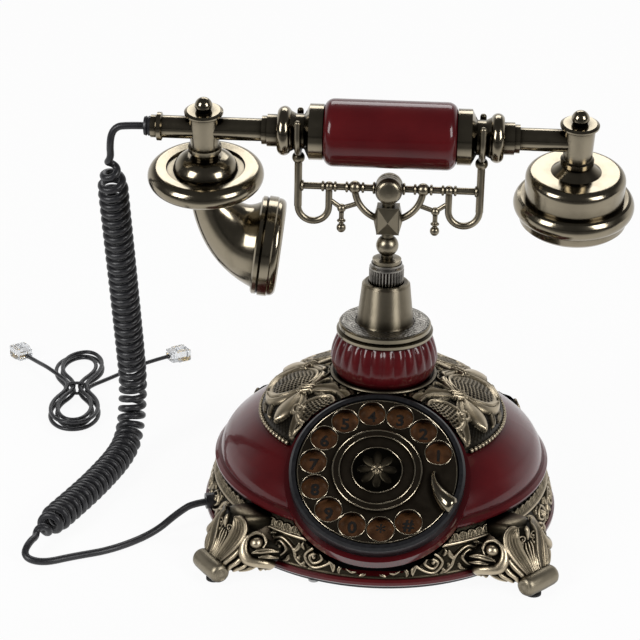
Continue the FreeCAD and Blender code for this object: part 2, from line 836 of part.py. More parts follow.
# Dial: bezel, number plate, can, sensor, spring
bezel_inner = S["wheel_radius"] + 0.5
turned(
    "dial_bezel",
    [
        (8.0, -floor_low),
        (S["bezel_radius"] - 4.3, -floor_low),
        (S["bezel_radius"] - 4.3, -S["bezel_deep"]),
        (S["bezel_radius"], -S["bezel_deep"]),
        (S["bezel_radius"], S["bezel_proud"] - 1.2),
        (S["bezel_radius"] - 1.2, S["bezel_proud"]),
        (bezel_inner, S["bezel_proud"]),
        (bezel_inner, -number_low),
        (8.0, -number_low),
    ],
    DIAL,
)
turned("number_plate", ring(8.0, S["wheel_radius"] - 0.4, -number_low, -S["number_drop"]), DIAL)
shaft_bore = S["shaft_radius"] + S["run_gap"]
turned(
    "dial_can",
    [
        (shaft_bore, -can_low),
        (S["can_radius"], -can_low),
        (S["can_radius"], -floor_low),
        (S["can_radius"] - S["can_wall"], -floor_low),
        (S["can_radius"] - S["can_wall"], S["can_wall"] - can_low),
        (shaft_bore, S["can_wall"] - can_low),
    ],
    DIAL,
)
turned("dial_return_spring", ring(10.0, 14.5, -(floor_low + 3.0), -floor_low), DIAL)
sensor = block("sensor_block", 6.0, 8.0, 6.0, V(0, 0, 0))
sensor_height = -can_low.number + N["can_wall"]
sensor.Placement = DIAL * spot(N["disc_radius"] + 0.8, -4.0, sensor_height)
keep(sensor, "pulse_sensor")

# Finger wheel with its holes, shaft, pulse disc
wheel_blank = turned(
    "wheel_blank",
    [
        (0, -S["wheel_thick"]),
        (S["wheel_radius"], -S["wheel_thick"]),
        (S["wheel_radius"], -0.6),
        (S["wheel_radius"] - 0.6, 0),
        (21.6, 0),
        (21.0, 1.0),
        (18.4, 1.0),
        (18.0, 0.4),
        (12.4, 0.4),
        (12.0, 0.9),
        (0, 1.3),
    ],
    DIAL,
    shown=False,
)
hole_rods = []
for i in range(12):
    centre = dial_spot(N["hole_ring"], N["hole_first"] + i * N["hole_pitch"], -6.0)
    hole_place = FreeCAD.Placement(centre, DIAL.Rotation)
    hole_rods.append(rod(f"finger_hole_{i}", S["hole_radius"], 12.0, hole_place))
cut("finger_wheel_cut", wheel_blank, fused("finger_holes", hole_rods), "finger_wheel")
turned(
    "dial_shaft",
    [
        (0, -(can_low + 2.0)),
        (S["shaft_radius"], -(can_low + 2.0)),
        (S["shaft_radius"], -S["wheel_thick"]),
        (0, -S["wheel_thick"]),
    ],
    DIAL,
)
disc_low = floor_low + 6.5
turned("pulse_disc", ring(S["shaft_radius"], S["disc_radius"], -disc_low, 1.2 - disc_low), DIAL)

# Finger stop on the bezel
stop_low = S["bezel_proud"]
stop_points = []
for radius, degrees in (
    (27.4, -1.0),
    (26.0, -6.0),
    (29.0, -21.0),
    (35.0, -29.5),
    (42.0, -31.0),
    (42.3, -21.5),
    (37.0, -20.5),
    (32.0, -13.5),
    (30.3, -2.0),
):
    turn = math.radians(degrees)
    stop_points.append((radius * math.cos(turn), radius * math.sin(turn)))
padded("finger_stop", stop_points, S["stop_thick"], DIAL * spot(0, 0, N["bezel_proud"]))

# Scroll feet and their pads
foot_keepout = turned(
    "foot_keepout",
    [
        (0, 0),
        (S["plate_radius"], 0),
        (S["plate_radius"], rim_low),
        (S["rim_radius"], rim_low),
        (S["rim_radius"], skirt_low),
        *skirt_face,
        (S["ledge_radius"] + 0.2, S["ledge_low"]),
        (S["ledge_radius"] + 0.2, 60.0),
        (0, 60.0),
    ],
    shown=False,
)
wing_ring = turned(
    "wing_ring",
    [
        (S["plate_radius"] - 8.0, skirt_low + 0.2),
        (S["rim_radius"] + S["wing_out"] - 2.0, skirt_low + 0.2),
        (S["rim_radius"] + S["wing_out"], skirt_low + 5.0),
        (S["skirt_low_radius"] + S["wing_out"], skirt_low + 10.0),
        (S["skirt_top_radius"] + S["wing_out"] + 2.0, S["ledge_low"] - 3.0),
        (S["skirt_top_radius"] + S["wing_out"], S["ledge_low"] - 0.2),
        (S["plate_radius"] - 8.0, S["ledge_low"] - 0.2),
    ],
    shown=False,
)
foot_low = S["pad_thick"]
roll_middle = foot_low + S["roll_radius"]
pad_solids = []


def foot(label, degrees):
    turn = spot(0, 0, 0, V(0, 0, 1), degrees)
    reach = S["foot_reach"]
    plate = S["plate_radius"]
    out = S["foot_out"]
    profile = [
        (plate - 10.0, S["plate_low"] + 4.0),
        (plate - 8.0, S["ledge_low"] + 2.0),
        (plate + 2.0, ledge_top + 2.0, out * 0.5, -1),
        (reach - 11.0, S["ledge_low"] + 2.0, out * 1.25, 1),
        (reach - 8.0, S["ledge_low"] - 7.0, out * 1.7, 1),
        (reach + 1.0, roll_middle + S["roll_radius"] - 0.4),
        (reach, foot_low),
        (reach - 5.0, foot_low, out * 0.85, 1),
    ]
    leaf = padded(f"{label}_leaf", profile, S["foot_width"], turn, "XZ_Plane", True, shown=False)
    roll_start = turn.multVec(V(N["foot_reach"], -N["roll_length"] / 2, roll_middle.number))
    roll_end = turn.multVec(V(N["foot_reach"], N["roll_length"] / 2, roll_middle.number))
    roll = between(f"{label}_roll", S["roll_radius"], roll_start, roll_end)
    wing_place = turn.multVec(V(N["plate_radius"], 0, 20.0))
    wing_room = block(f"{label}_wing_room", 40.0, S["wing_wide"], 60.0, V(0, 0, 0))
    corner = wing_place - turn.multVec(V(20.0, N["wing_wide"] / 2, 30.0))
    wing_room.Placement = FreeCAD.Placement(corner, turn.Rotation)
    wing = doc.addObject("Part::Common", f"{label}_wing")
    wing.Base, wing.Tool = wing_ring, wing_room
    whole = fused(f"{label}_whole", [leaf, roll, wing])
    cut(f"{label}_cut", whole, foot_keepout, label)
    place = turn * spot(N["foot_reach"] - 1.0, 0, 0)
    pad_solids.append(rod(f"{label}_pad", S["pad_radius"], S["pad_thick"], place))


foot("foot_front_right", -N["foot_angle"])
foot("foot_front_left", 180.0 + N["foot_angle"])
foot("foot_rear_left", 180.0 - N["rear_foot_angle"])
foot("foot_rear_right", N["rear_foot_angle"])
grouped("foot_pads", pad_solids)

# Cradle column, frame and forks
block_low = S["bar_height"] - S["hub_radius"] - 2.2 - S["block_tall"]
ball_middle = (plunger_top + block_low) / 2 + 1.1
column_turned = turned(
    "column_turned",
    [
        (0, plunger_top),
        (7.1, plunger_top),
        (7.1, plunger_top + 2.0),
        (3.0, plunger_top + 2.6),
        (3.0, block_low),
        (3.2, S["bar_height"] - 3.0),
        (0, S["bar_height"] - 3.0),
    ],
    shown=False,
)
column_pieces = [
    column_turned,
    ball("column_ball_piece", S["column_ball"], V(0, 0, ball_middle.number)),
    ball("column_hub", S["hub_radius"], V(0, 0, N["bar_height"])),
    block(
        "column_block",
        S["block_wide"],
        S["block_deep"],
        S["block_tall"],
        V(0, 0, block_low.number + N["block_tall"] / 2),
    ),
]
fused("cradle_column_whole", column_pieces, "cradle_column")
bar_z = N["bar_height"]
fork_low = N["handset_height"] - N["neck_radius"] - N["fork_gap"] - 2 * N["fork_rod"]
frame_pieces = []
for side in (-1, 1):
    tag = "left" if side < 0 else "right"
    out = side * N["post_apart"]
    inner = side * (N["post_apart"] - 2 * N["loop_radius"])
    loop_z = bar_z - N["loop_drop"]
    frame_pieces += [
        between(f"bar_{tag}", S["bar_radius"], V(0, 0, bar_z), V(out, 0, bar_z)),
        between(f"post_{tag}", S["bar_radius"] + 0.2, V(out, 0, loop_z), V(out, 0, fork_low - 2.5)),
        between(f"leg_{tag}", S["bar_radius"], V(inner, 0, loop_z), V(inner, 0, bar_z)),
        bend(
            f"loop_{tag}",
            S["loop_radius"],
            S["bar_radius"],
            180,
            spot((out + inner) / 2, 0, loop_z, V(1, 0, 0), -90),
        ),
        ball(f"ball_outer_{tag}", 2.5, V(inner, 0, bar_z)),
        ball(f"ball_inner_{tag}", 3.2, V(side * N["arch_radius"], 0, bar_z)),
    ]
    hang = side * (N["arch_radius"] + (abs(inner) - N["arch_radius"]) / 2)
    hang_z = bar_z - 11.0
    frame_pieces += [
        ball(f"pendant_ball_{tag}", 2.2, V(hang, 0, hang_z)),
        between(f"pendant_arm_{tag}", 1.2, V(hang, 0, hang_z), V(inner, 0, hang_z + 4.5)),
        between(f"pendant_leg_{tag}", 1.2, V(hang, 0, hang_z), V(side * 14.2, 0, hang_z + 3.0)),
        between(f"pendant_stem_{tag}", 1.1, V(hang, 0, hang_z - 9.0), V(hang, 0, hang_z)),
        ball(f"pendant_drop_{tag}", 1.8, V(hang, 0, hang_z - 10.0)),
    ]
frame_pieces.append(
    bend("arch", S["arch_radius"], S["bar_radius"], 180, spot(0, 0, bar_z, V(1, 0, 0), -90))
)
frame_whole = fused("frame_whole", frame_pieces)
frame_room = fused(
    "frame_room",
    [
        ball("frame_hub_room", S["hub_radius"], V(0, 0, bar_z)),
        block(
            "frame_block_room",
            S["block_wide"],
            S["block_deep"],
            S["block_tall"],
            V(0, 0, block_low.number + N["block_tall"] / 2),
        ),
        rod("frame_column_room", 3.2, N["bar_height"] - block_low.number, spot(0, 0, block_low.number)),
    ],
)
cut("cradle_frame_cut", frame_whole, frame_room, "cradle_frame")


def fork(label, side):
    x = side * N["post_apart"]
    middle = N["handset_height"]
    reach = S["neck_radius"] + S["fork_gap"] + S["fork_rod"]
    tips = []
    for way in (-1, 1):
        y = way * reach.number
        top = V(x, y, middle + N["fork_rise"])
        tips.append(between(f"{label}_prong_{way}", S["fork_rod"], V(x, y, middle), top))
        tips.append(ball(f"{label}_tip_{way}", S["fork_rod"], top))
    saddle_turn = FreeCAD.Rotation(V(0, 0, 1), 90) * FreeCAD.Rotation(V(1, 0, 0), -90)
    saddle_place = FreeCAD.Placement(V(x, 0, middle), saddle_turn)
    saddle = bend(f"{label}_saddle", reach, S["fork_rod"], 180, saddle_place)
    root = ball(f"{label}_root", 3.1, V(x, 0, fork_low - 1.2))
    whole = fused(f"{label}_whole", [saddle, root] + tips)
    room = rod(f"{label}_room", S["bar_radius"] + 0.2, 12.0, spot(x, 0, fork_low - 14.5))
    cut(f"{label}_cut", whole, room, label)


fork("fork_left", -1)
fork("fork_right", 1)

# Handset frame: its own Z leans to the front about the long axis
HANDSET = spot(0, 0, N["handset_height"], V(1, 0, 0), N["handset_lean"])
ALONG = FreeCAD.Placement(V(0, 0, 0), FreeCAD.Rotation(V(0, 1, 0), 90))
AGAINST = FreeCAD.Placement(V(0, 0, 0), FreeCAD.Rotation(V(0, 1, 0), -90))
half_grip = S["grip_length"] / 2
turned(
    "handset_grip",
    [
        (S["core_radius"], -half_grip),
        (S["grip_radius"] - S["grip_round"], -half_grip, S["grip_round"], 1),
        (S["grip_radius"], S["grip_round"] - half_grip),
        (S["grip_radius"], half_grip - S["grip_round"], S["grip_round"], 1),
        (S["grip_radius"] - S["grip_round"], half_grip),
        (S["core_radius"], half_grip),
    ],
    HANDSET * ALONG,
)
neck_start = half_grip
groove_start = neck_start + S["neck_flange_long"]
groove_end = groove_start + S["neck_long"]
bulb_end = groove_end + S["bulb_long"]
cuff_end = bulb_end + S["cuff_long"]
neck_end = cuff_end + S["bead_long"]
turned(
    "grip_tube",
    ring(S["core_radius"] - 1.0, S["core_radius"], -groove_end, groove_end),
    HANDSET * ALONG,
)


def neck(label, way):
    turned(
        label,
        [
            (S["core_radius"], neck_start),
            (S["neck_flange_radius"], neck_start),
            (S["neck_flange_radius"], groove_start),
            (S["neck_radius"], groove_start + S["neck_long"] * 0.28),
            (S["neck_radius"], groove_end - S["neck_long"] * 0.28),
            (S["bulb_radius"] - 2.0, groove_end, S["bulb_long"] * 0.549, 1),
            (S["bulb_radius"] - 2.0, bulb_end),
            (S["cuff_radius"], bulb_end),
            (S["cuff_radius"], cuff_end),
            (S["bead_radius"], cuff_end),
            (S["bead_radius"], neck_end),
            (S["core_radius"], neck_end),
        ],
        HANDSET * way,
    )


neck("neck_left", AGAINST)
neck("neck_right", ALONG)
barrel_side = S["head_apart"] - S["barrel_radius"]
barrel_far = S["head_apart"] + S["barrel_radius"]
bore = S["core_radius"] - 1.0
arm_tool = S["arm_radius"]
turned("arm_right", ring(bore, arm_tool, neck_end, S["head_apart"] - 5.0), HANDSET * ALONG)
turned(
    "arm_left",
    [
        (bore, neck_end),
        (arm_tool, neck_end),
        (arm_tool, S["arm_end"]),
        (S["bead_radius"], S["arm_end"] + 0.6),
        (S["bead_radius"], S["arm_end"] + 2.6),
        (arm_tool, S["arm_end"] + 3.2),
        (arm_tool, S["arm_end"] + 5.7),
        (bore, S["arm_end"] + 5.7),
    ],
    HANDSET * AGAINST,
)
grommet_start = S["arm_end"] + 5.7
turned(
    "handset_grommet",
    [
        (S["curl_wire"] / 2, grommet_start),
        (4.8, grommet_start),
        (4.8, grommet_start + S["grommet_long"] * 0.35),
        (4.2, grommet_start + S["grommet_long"] * 0.5),
        (4.8, grommet_start + S["grommet_long"] * 0.65),
        (4.4, grommet_start + S["grommet_long"]),
        (S["curl_wire"] / 2, grommet_start + S["grommet_long"]),
    ],
    HANDSET * AGAINST,
)


def head_post(label, side, foot_low_radius, foot_low_height):
    place = HANDSET * spot(side * N["head_apart"], 0, 0)
    cap_low = S["barrel_up"]
    blank = turned(
        f"{label}_blank",
        [
            (0, foot_low_height),
            (foot_low_radius, foot_low_height),
            (S["barrel_radius"] - 0.9, 0.5 - S["barrel_down"]),
            (S["barrel_radius"] + 0.4, 1.0 - S["barrel_down"]),
            (S["barrel_radius"] + 0.4, 3.2 - S["barrel_down"]),
            (S["barrel_radius"] - 0.7, 3.8 - S["barrel_down"]),
            (S["barrel_radius"], cap_low),
            (S["cap_radius"] - 0.6, cap_low),
            (S["cap_radius"], cap_low + 0.6),
            (S["cap_radius"], cap_low + 1.4),
            (S["cap_radius"] - 1.4, cap_low + 2.2),
            (S["knob_radius"] * 0.8, cap_low + 2.4),
            (S["knob_radius"], cap_low + 4.4, S["knob_radius"], 1),
            (0, cap_low + 4.4 + S["knob_radius"]),
        ],
        place,
        shown=False,
    )
    if side > 0:
        start, end = barrel_side.number - 8.0, N["head_apart"] - 5.0
    else:
        start, end = -N["head_apart"] - 20.0, barrel_side.number * -1.0 + 8.0
    near, far = HANDSET.multVec(V(start, 0, 0)), HANDSET.multVec(V(end, 0, 0))
    tool = between(f"{label}_room", S["arm_radius"], near, far)
    cut(f"{label}_cut", blank, tool, label)


saucer_top = -(S["saucer_low"] - 2 * S["saucer_round"])
head_post("post_left", -1, S["barrel_radius"] - 1.0, saucer_top + 6.0)
head_post("post_right", 1, 12.2, -S["ear_top"])

# Mouthpiece: saucer, horn, cap, capsule
saucer_place = HANDSET * spot(-N["head_apart"], 0, 0)
horn_bore = S["horn_small"]
turned(
    "mouth_saucer",
    [
        (horn_bore, -S["saucer_low"]),
        (S["saucer_radius"] - S["saucer_round"], -S["saucer_low"], S["saucer_round"], 1),
        (S["saucer_radius"], S["saucer_round"] - S["saucer_low"], S["saucer_round"], 1),
        (S["saucer_radius"] - S["saucer_round"], saucer_top),
        (S["saucer_radius"] * 0.68, saucer_top - 0.4),
        (S["saucer_radius"] * 0.66, saucer_top - 1.6),
        (S["saucer_radius"] * 0.56, saucer_top - 1.6, 9.0, 1),
        (S["barrel_radius"] + 0.6, saucer_top + 6.0),
        (0, saucer_top + 6.0),
        (0, saucer_top - 1.0),
        (horn_bore, saucer_top - 1.0),
    ],
    saucer_place,
)


# Bends of the horn: shares of its run and fall, way down in degrees, share of its growth
HORN_BENDS = (
    (0.06, 0.22, 78.0, 0.10),
    (0.20, 0.46, 60.0, 0.29),
    (0.43, 0.72, 40.0, 0.57),
    (0.71, 0.91, 20.0, 0.86),
)


def horn_solid(inset):
    """Elbow through growing circles from under the saucer to the mouth cap."""
    tip = math.radians(N["mouth_tip"])
    top = V(0, 0, saucer_top.number - 1.0)
    root = V(0, 0, -N["saucer_low"] - 2.0)
    ahead = V(math.cos(tip), 0, -math.sin(tip))
    mouth = V(N["mouth_along"], 0, -N["mouth_down"]) - ahead * 2.0
    sections = [(top, V(0, 0, -1), N["horn_small"]), (root, V(0, 0, -1), N["horn_small"])]
    run, fall = mouth.x, root.z - mouth.z
    grow = N["horn_wide"] - N["horn_small"]
    for along, down, turn, share in HORN_BENDS:
        point = root + V(run * along, 0, -fall * down)
        lean = math.radians(turn)
        way = V(math.cos(lean), 0, -math.sin(lean))
        sections.append((point, way, N["horn_small"] + grow * share))
    sections.append((mouth, ahead, N["horn_wide"] + 1.5))
    wires = []
    for point, way, wide in sections:
        wires.append(Part.Wire([Part.Circle(point, way, wide - inset).toShape()]))
    return Part.makeLoft(wires, True)


horn = doc.addObject("Part::Feature", "mouth_horn_form")
horn.Shape = horn_solid(0.0).cut(horn_solid(N["horn_wall"]))
keep(horn, "mouth_horn", saucer_place)
tip_turn = FreeCAD.Placement(V(0, 0, 0), FreeCAD.Rotation(V(0, 1, 0), 90 + N["mouth_tip"]))
mouth_place = saucer_place * spot(N["mouth_along"], 0, -N["mouth_down"]) * tip_turn
mouth_seat = S["horn_wide"] + 1.5
mouth_blank = turned(
    "mouth_blank",
    [
        (mouth_seat - S["horn_wall"], -2.0),
        (S["mouth_radius"] - 1.6, -2.0),
        (S["mouth_radius"] - 0.5, -1.2),
        (S["mouth_radius"] - 0.5, 0.6),
        (S["mouth_radius"] - 1.1, 1.2),
        (S["mouth_radius"], 1.8),
        (S["mouth_radius"], 6.0),
        (S["mouth_radius"] - 0.6, 6.6),
        (S["mouth_radius"] - 0.6, 7.4, 3.2, 1),
        (S["mouth_radius"] - 3.6, 10.4),
        (S["mouth_radius"] - 6.0, 9.0),
        (0, 9.0),
        (0, 7.0),
        (mouth_seat - S["horn_wall"], 7.0),
    ],
    mouth_place,
    shown=False,
)


def drilled(label, blank, place, height, rings):
    """A face with rings of sound holes."""
    rods = []
    for radius, count in rings:
        for i in range(count):
            turn = 2 * math.pi * i / count
            spot_here = place * spot(radius * math.cos(turn), radius * math.sin(turn), height)
            rods.append(rod(f"{label}_hole_{len(rods)}", 1.1, 8.0, spot_here))
    cut(f"{label}_cut", blank, fused(f"{label}_holes", rods), label)


drilled("mouth_cap", mouth_blank, mouth_place, 4.0, ((5.0, 6), (10.5, 12)))
turned("microphone_capsule", ring(0, mouth_seat - S["horn_wall"], 1.0, 6.0), mouth_place)

# Earpiece: shell, cap, capsule
ear_place = HANDSET * spot(N["head_apart"], 0, 0)
turned(
    "ear_shell",
    [
        (0, -S["ear_top"]),
        (0, -(S["ear_top"] + S["ear_wall"])),
        (S["ear_drum_radius"] - S["ear_wall"], -(S["ear_top"] + S["ear_wall"])),
        (S["ear_drum_radius"] - S["ear_wall"], -S["ear_seam"]),
        (S["ear_drum_radius"], -S["ear_seam"]),
        (S["ear_drum_radius"], -(S["ear_top"] + 4.2), 4.2, 1),
        (S["ear_drum_radius"] - 4.2, -S["ear_top"]),
    ],
    ear_place,
)
ring_bow = (S["ear_low"] - S["ear_seam"] - 6.2) * 0.68
ear_blank = turned(
    "ear_blank",
    [
        (0, -S["ear_low"]),
        (S["ear_drum_radius"] - 4.0, 1.5 - S["ear_low"]),
        (S["ear_drum_radius"] + 0.5, -S["ear_low"]),
        (S["ear_drum_radius"] + 1.8, 1.4 - S["ear_low"]),
        (S["ear_drum_radius"] + 2.2, 4.8 - S["ear_low"]),
        (S["ear_ring_radius"] - 1.8, 5.6 - S["ear_low"], ring_bow, 1),
        (S["ear_ring_radius"] - 1.8, -(S["ear_seam"] + 0.6)),
        (S["ear_ring_radius"] - 3.2, -S["ear_seam"]),
        (S["ear_drum_radius"] - S["ear_wall"], -S["ear_seam"]),
        (S["ear_drum_radius"] - S["ear_wall"], 4.0 - S["ear_low"]),
        (0, 4.0 - S["ear_low"]),
    ],
    ear_place,
    shown=False,
)
drilled("ear_cap", ear_blank, ear_place, -N["ear_low"] - 2.0, ((4.0, 6), (9.0, 10)))
turned(
    "receiver_capsule",
    ring(0, S["ear_drum_radius"] - S["ear_wall"], 4.0 - S["ear_low"], 12.0 - S["ear_low"]),
    ear_place,
)


# Curly handset cord: straight ends, coiled middle, one tube
def coil_frames(knots, count):
    """Even points along a smooth axis through the knots, with a steady side direction."""
    curve = Part.BSplineCurve()
    curve.interpolate(knots)
    points = curve.discretize(count + 1)
    ways = []
    for i in range(count + 1):
        step = points[min(i + 1, count)] - points[max(i - 1, 0)]
        ways.append(step.normalize())
    side = ways[0].cross(V(0, 1, 0)).normalize()
    sides = [side]
    for way in ways[1:]:
        side = side - way * side.dot(way)
        side = V(side).normalize()
        sides.append(side)
    return points, ways, sides


curl_radius = N["curl_radius"]
curl_wire = N["curl_wire"]
quarter_steps = int(N["curl_turns"]) * 4
bend_middle = V(-136.0, 25.0, 40.0)
bend_reach = 32.0
coil_low = curl_radius + curl_wire / 2 + 0.3
axis_knots = [
    V(-136.0, 0, 190.0),
    V(-136.0, 18.5, 144.0),
    V(-136.0, 37.0, 98.0),
    V(-136.0, 54.5, 52.0),
    bend_middle + V(0, bend_reach, 0),
    bend_middle + V(-0.5, bend_reach * 0.71, -bend_reach * 0.71),
    V(-138.0, 25.0, coil_low),
    V(-147.0, 0, coil_low),
    V(-158.0, -31.0, coil_low),
    V(-170.0, -62.0, coil_low),
]
points, ways, sides = coil_frames(axis_knots, quarter_steps)
coil_points = []
for i, (p, way, side) in enumerate(zip(points, ways, sides)):
    across = way.cross(side)
    angle = math.pi / 2 * i + math.pi / 2
    coil_points.append(p + side * (curl_radius * math.cos(angle)) + across * (curl_radius * math.sin(angle)))
coil_ways = []
for i in range(quarter_steps + 1):
    across = ways[i].cross(sides[i])
    angle = math.pi / 2 * i + math.pi / 2
    spin = across * math.cos(angle) - sides[i] * math.sin(angle)
    step = points[min(i + 1, quarter_steps)] - points[max(i - 1, 0)]
    span = 2 if 0 < i < quarter_steps else 1
    coil_ways.append((spin * (curl_radius * math.pi / 2) + step * (1.0 / span)).normalize())
coil_curves = []
for i in range(quarter_steps):
    coil_curves += biarc(coil_points[i], coil_ways[i], coil_points[i + 1], coil_ways[i + 1])


def lead(points, last, last_way):
    """A plain end that runs into the coil along its direction."""
    pieces, radii = smooth_route(points)
    end = points[-1]
    way = points[-1] - points[-2]
    pieces += biarc(end, way.normalize(), last, last_way)
    return pieces, radii


inside = grommet_start.number
exit_x = -(inside + N["grommet_long"])
handset_points = [V(-inside, 0, N["handset_height"]), V(exit_x - 4.0, 0, N["handset_height"])]
top_lead = [Part.LineSegment(handset_points[0], handset_points[1])]
top_lead += biarc(handset_points[1], V(-1, 0, 0), coil_points[0], coil_ways[0])
tail_height = curl_wire / 2 + 0.2
tail_start = coil_points[-1]
tail_way = coil_ways[-1]
tail_points = [
    V(-148.0, -66.0, tail_height),
    V(-130.0, -58.0, tail_height),
    V(-112.0, -40.0, tail_height),
    cord_way * (N["skirt_low_radius"] + 18.0) + V(0, 0, cord_height - 5.0),
    cord_hole_end + cord_way * 5.0,
    cord_hole_start + cord_way * 1.0,
]
tail_curves, tail_radii = smooth_route(tail_points)
tail_begin = (tail_points[1] - tail_points[0]).normalize()
join_curves = biarc(tail_start, tail_way, tail_points[0], tail_begin)
curl_solid, curl_path = tube("handset_cord", top_lead + coil_curves + join_curves + tail_curves, curl_wire)
print("handset_cord tail radii", [round(r, 1) for r in tail_radii])
own_gap("handset_cord", curl_path, curl_wire)
formed("handset_cord", curl_solid)

# Line cord: a tied hank lying flat, one tube
line_wire = N["line_wire"]
line_step = line_wire + N["line_gap"]
tie_thick = 0.8
hank_middle = V(-178.0, 118.0, 0)
hank_turn = math.radians(97.0)
hank_half = 48.0
hank_wide = 17.0
plug_size = V(12.4, 9.6, 6.6)


def hank_spot(along, across, height):
    x = along * math.cos(hank_turn) - across * math.sin(hank_turn)
    y = along * math.sin(hank_turn) + across * math.cos(hank_turn)
    return hank_middle + V(x, y, height)


flat = line_wire / 2 + tie_thick + 0.2
plug_height = plug_size.z / 2 + 0.1
LOOP = (
    (-0.42, -0.78),
    (-0.76, -0.8),
    (-1.0, -0.36),
    (-1.0, 0.36),
    (-0.76, 0.8),
    (-0.42, 0.78),
    (0.42, 0.78),
    (0.76, 0.8),
    (1.0, 0.36),
    (1.0, -0.36),
    (0.76, -0.8),
    (0.42, -0.78),
)
hank_points = [
    hank_spot(44.0, -52.0, plug_height),
    hank_spot(38.0, -41.0, plug_height - 0.4),
    hank_spot(29.0, -30.0, flat + 0.2),
    hank_spot(17.0, -18.0, flat),
]
for i in range(4):
    inner, layer = (i + 1) // 2 % 2, i // 2
    waist = 1.7 + line_step * (1 - inner)
    height = flat + line_step * layer
    climb = line_step if i == 1 else 0.0
    hank_points += [hank_spot(5.0, -waist, height), hank_spot(-5.0, -waist, height)]
    for order, (along, across) in enumerate(LOOP[:6] if i == 3 else LOOP):
        lift = climb * max(0, order - 8) / 3
        inset = 0 if i == 2 and order > 8 else inner
        wide = hank_wide - 1.27 * line_step * inset - 0.4 * layer
        reach = hank_half - line_step * inset - 0.8 * layer
        hank_points.append(hank_spot(reach * along, wide * across, height + lift))
        if order == 5:
            hank_points += [hank_spot(-5.0, waist, height), hank_spot(5.0, waist, height)]
top_layer = flat + line_step
hank_points += [
    hank_spot(13.0, 11.0, top_layer + 0.6),
    hank_spot(24.0, 18.5, top_layer + 0.8),
    hank_spot(36.0, 25.0, plug_height + 1.0),
    hank_spot(47.0, 32.0, plug_height),
]
line_curves, line_radii = smooth_route(hank_points)
line_solid, line_path = tube("line_cord", line_curves, line_wire)
print("line_cord least radius", round(min(line_radii), 1))
own_gap("line_cord", line_path, line_wire)
formed("line_cord", line_solid)
plug_solids = []
for name, end, before in (
    ("far", hank_points[0], hank_points[1]),
    ("near", hank_points[-1], hank_points[-2]),
):
    way = V(end.x - before.x, end.y - before.y, 0).normalize()
    turn = FreeCAD.Rotation(V(1, 0, 0), way)
    plug = block(f"plug_{name}", plug_size.x, plug_size.y, plug_size.z, V(0, 0, 0))
    corner = end - turn.multVec(V(0, plug_size.y / 2, 0)) - V(0, 0, plug_size.z / 2)
    plug.Placement = FreeCAD.Placement(corner, turn)
    plug_solids.append(plug)
grouped("line_plugs", plug_solids)
tie_inner = V(6.0, 2 * (1.7 + line_step) + line_wire + 0.6, line_step + line_wire + 0.4)
tie_outer = V(3.0, tie_inner.y + 2 * tie_thick, tie_inner.z + 2 * tie_thick)
tie_middle = V(0, 0, 0.05 + tie_outer.z / 2)
tie_turn = FreeCAD.Rotation(V(0, 0, 1), math.degrees(hank_turn))
tie_blocks = []
for name, size in (("tie_outside", tie_outer), ("tie_inside", tie_inner)):
    piece = block(name, size.x, size.y, size.z, V(0, 0, 0))
    corner = hank_middle + tie_middle - tie_turn.multVec(size / 2)
    piece.Placement = FreeCAD.Placement(corner, tie_turn)
    tie_blocks.append(piece)
cut("cord_tie_cut", tie_blocks[0], tie_blocks[1], "cord_tie")

# Check and write every part
doc.recompute()
bad = [item.Label for item in doc.Objects if "Invalid" in item.State or "Error" in item.State]
if bad:
    raise RuntimeError(f"objects in error: {bad}")
whole_box = FreeCAD.BoundBox()
for label, thing in exported:
    shape = thing.Shape
    if shape.isNull() or not shape.isValid() or not shape.Solids:
        raise RuntimeError(f"{label} has no valid solid")
    if not any(word in label for word in ("cord", "plugs")):
        whole_box.add(shape.BoundBox)
    shape.exportStep(f"parts/{label}.step")
print("nodes", len(exported))
print("box without cords", whole_box)
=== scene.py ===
import json
import math

import bpy
import numpy as np
from mathutils import Matrix, Vector


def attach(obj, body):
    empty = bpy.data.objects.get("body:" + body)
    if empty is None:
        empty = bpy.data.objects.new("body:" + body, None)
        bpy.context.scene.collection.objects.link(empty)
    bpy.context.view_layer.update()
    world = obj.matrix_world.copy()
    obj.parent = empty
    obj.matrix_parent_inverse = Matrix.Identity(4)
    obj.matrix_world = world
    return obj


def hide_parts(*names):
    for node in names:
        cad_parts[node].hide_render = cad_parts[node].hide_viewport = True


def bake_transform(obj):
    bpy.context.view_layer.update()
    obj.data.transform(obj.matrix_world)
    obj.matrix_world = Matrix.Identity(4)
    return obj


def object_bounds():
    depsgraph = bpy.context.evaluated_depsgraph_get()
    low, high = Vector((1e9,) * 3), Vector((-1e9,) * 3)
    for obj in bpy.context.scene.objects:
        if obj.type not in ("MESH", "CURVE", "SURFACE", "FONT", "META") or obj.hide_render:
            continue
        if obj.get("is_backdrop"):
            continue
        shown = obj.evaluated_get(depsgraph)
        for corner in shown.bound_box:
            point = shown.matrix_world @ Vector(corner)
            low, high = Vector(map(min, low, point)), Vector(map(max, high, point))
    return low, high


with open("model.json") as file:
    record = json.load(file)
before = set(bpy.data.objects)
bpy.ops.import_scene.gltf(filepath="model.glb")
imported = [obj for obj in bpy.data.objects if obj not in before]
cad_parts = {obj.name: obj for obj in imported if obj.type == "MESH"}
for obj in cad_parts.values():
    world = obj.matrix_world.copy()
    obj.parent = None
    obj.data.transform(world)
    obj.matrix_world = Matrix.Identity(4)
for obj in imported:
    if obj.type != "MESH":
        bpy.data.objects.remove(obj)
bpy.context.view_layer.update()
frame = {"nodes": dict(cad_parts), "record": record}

NODES = frame["nodes"]
MM = 0.001
scene = bpy.context.scene

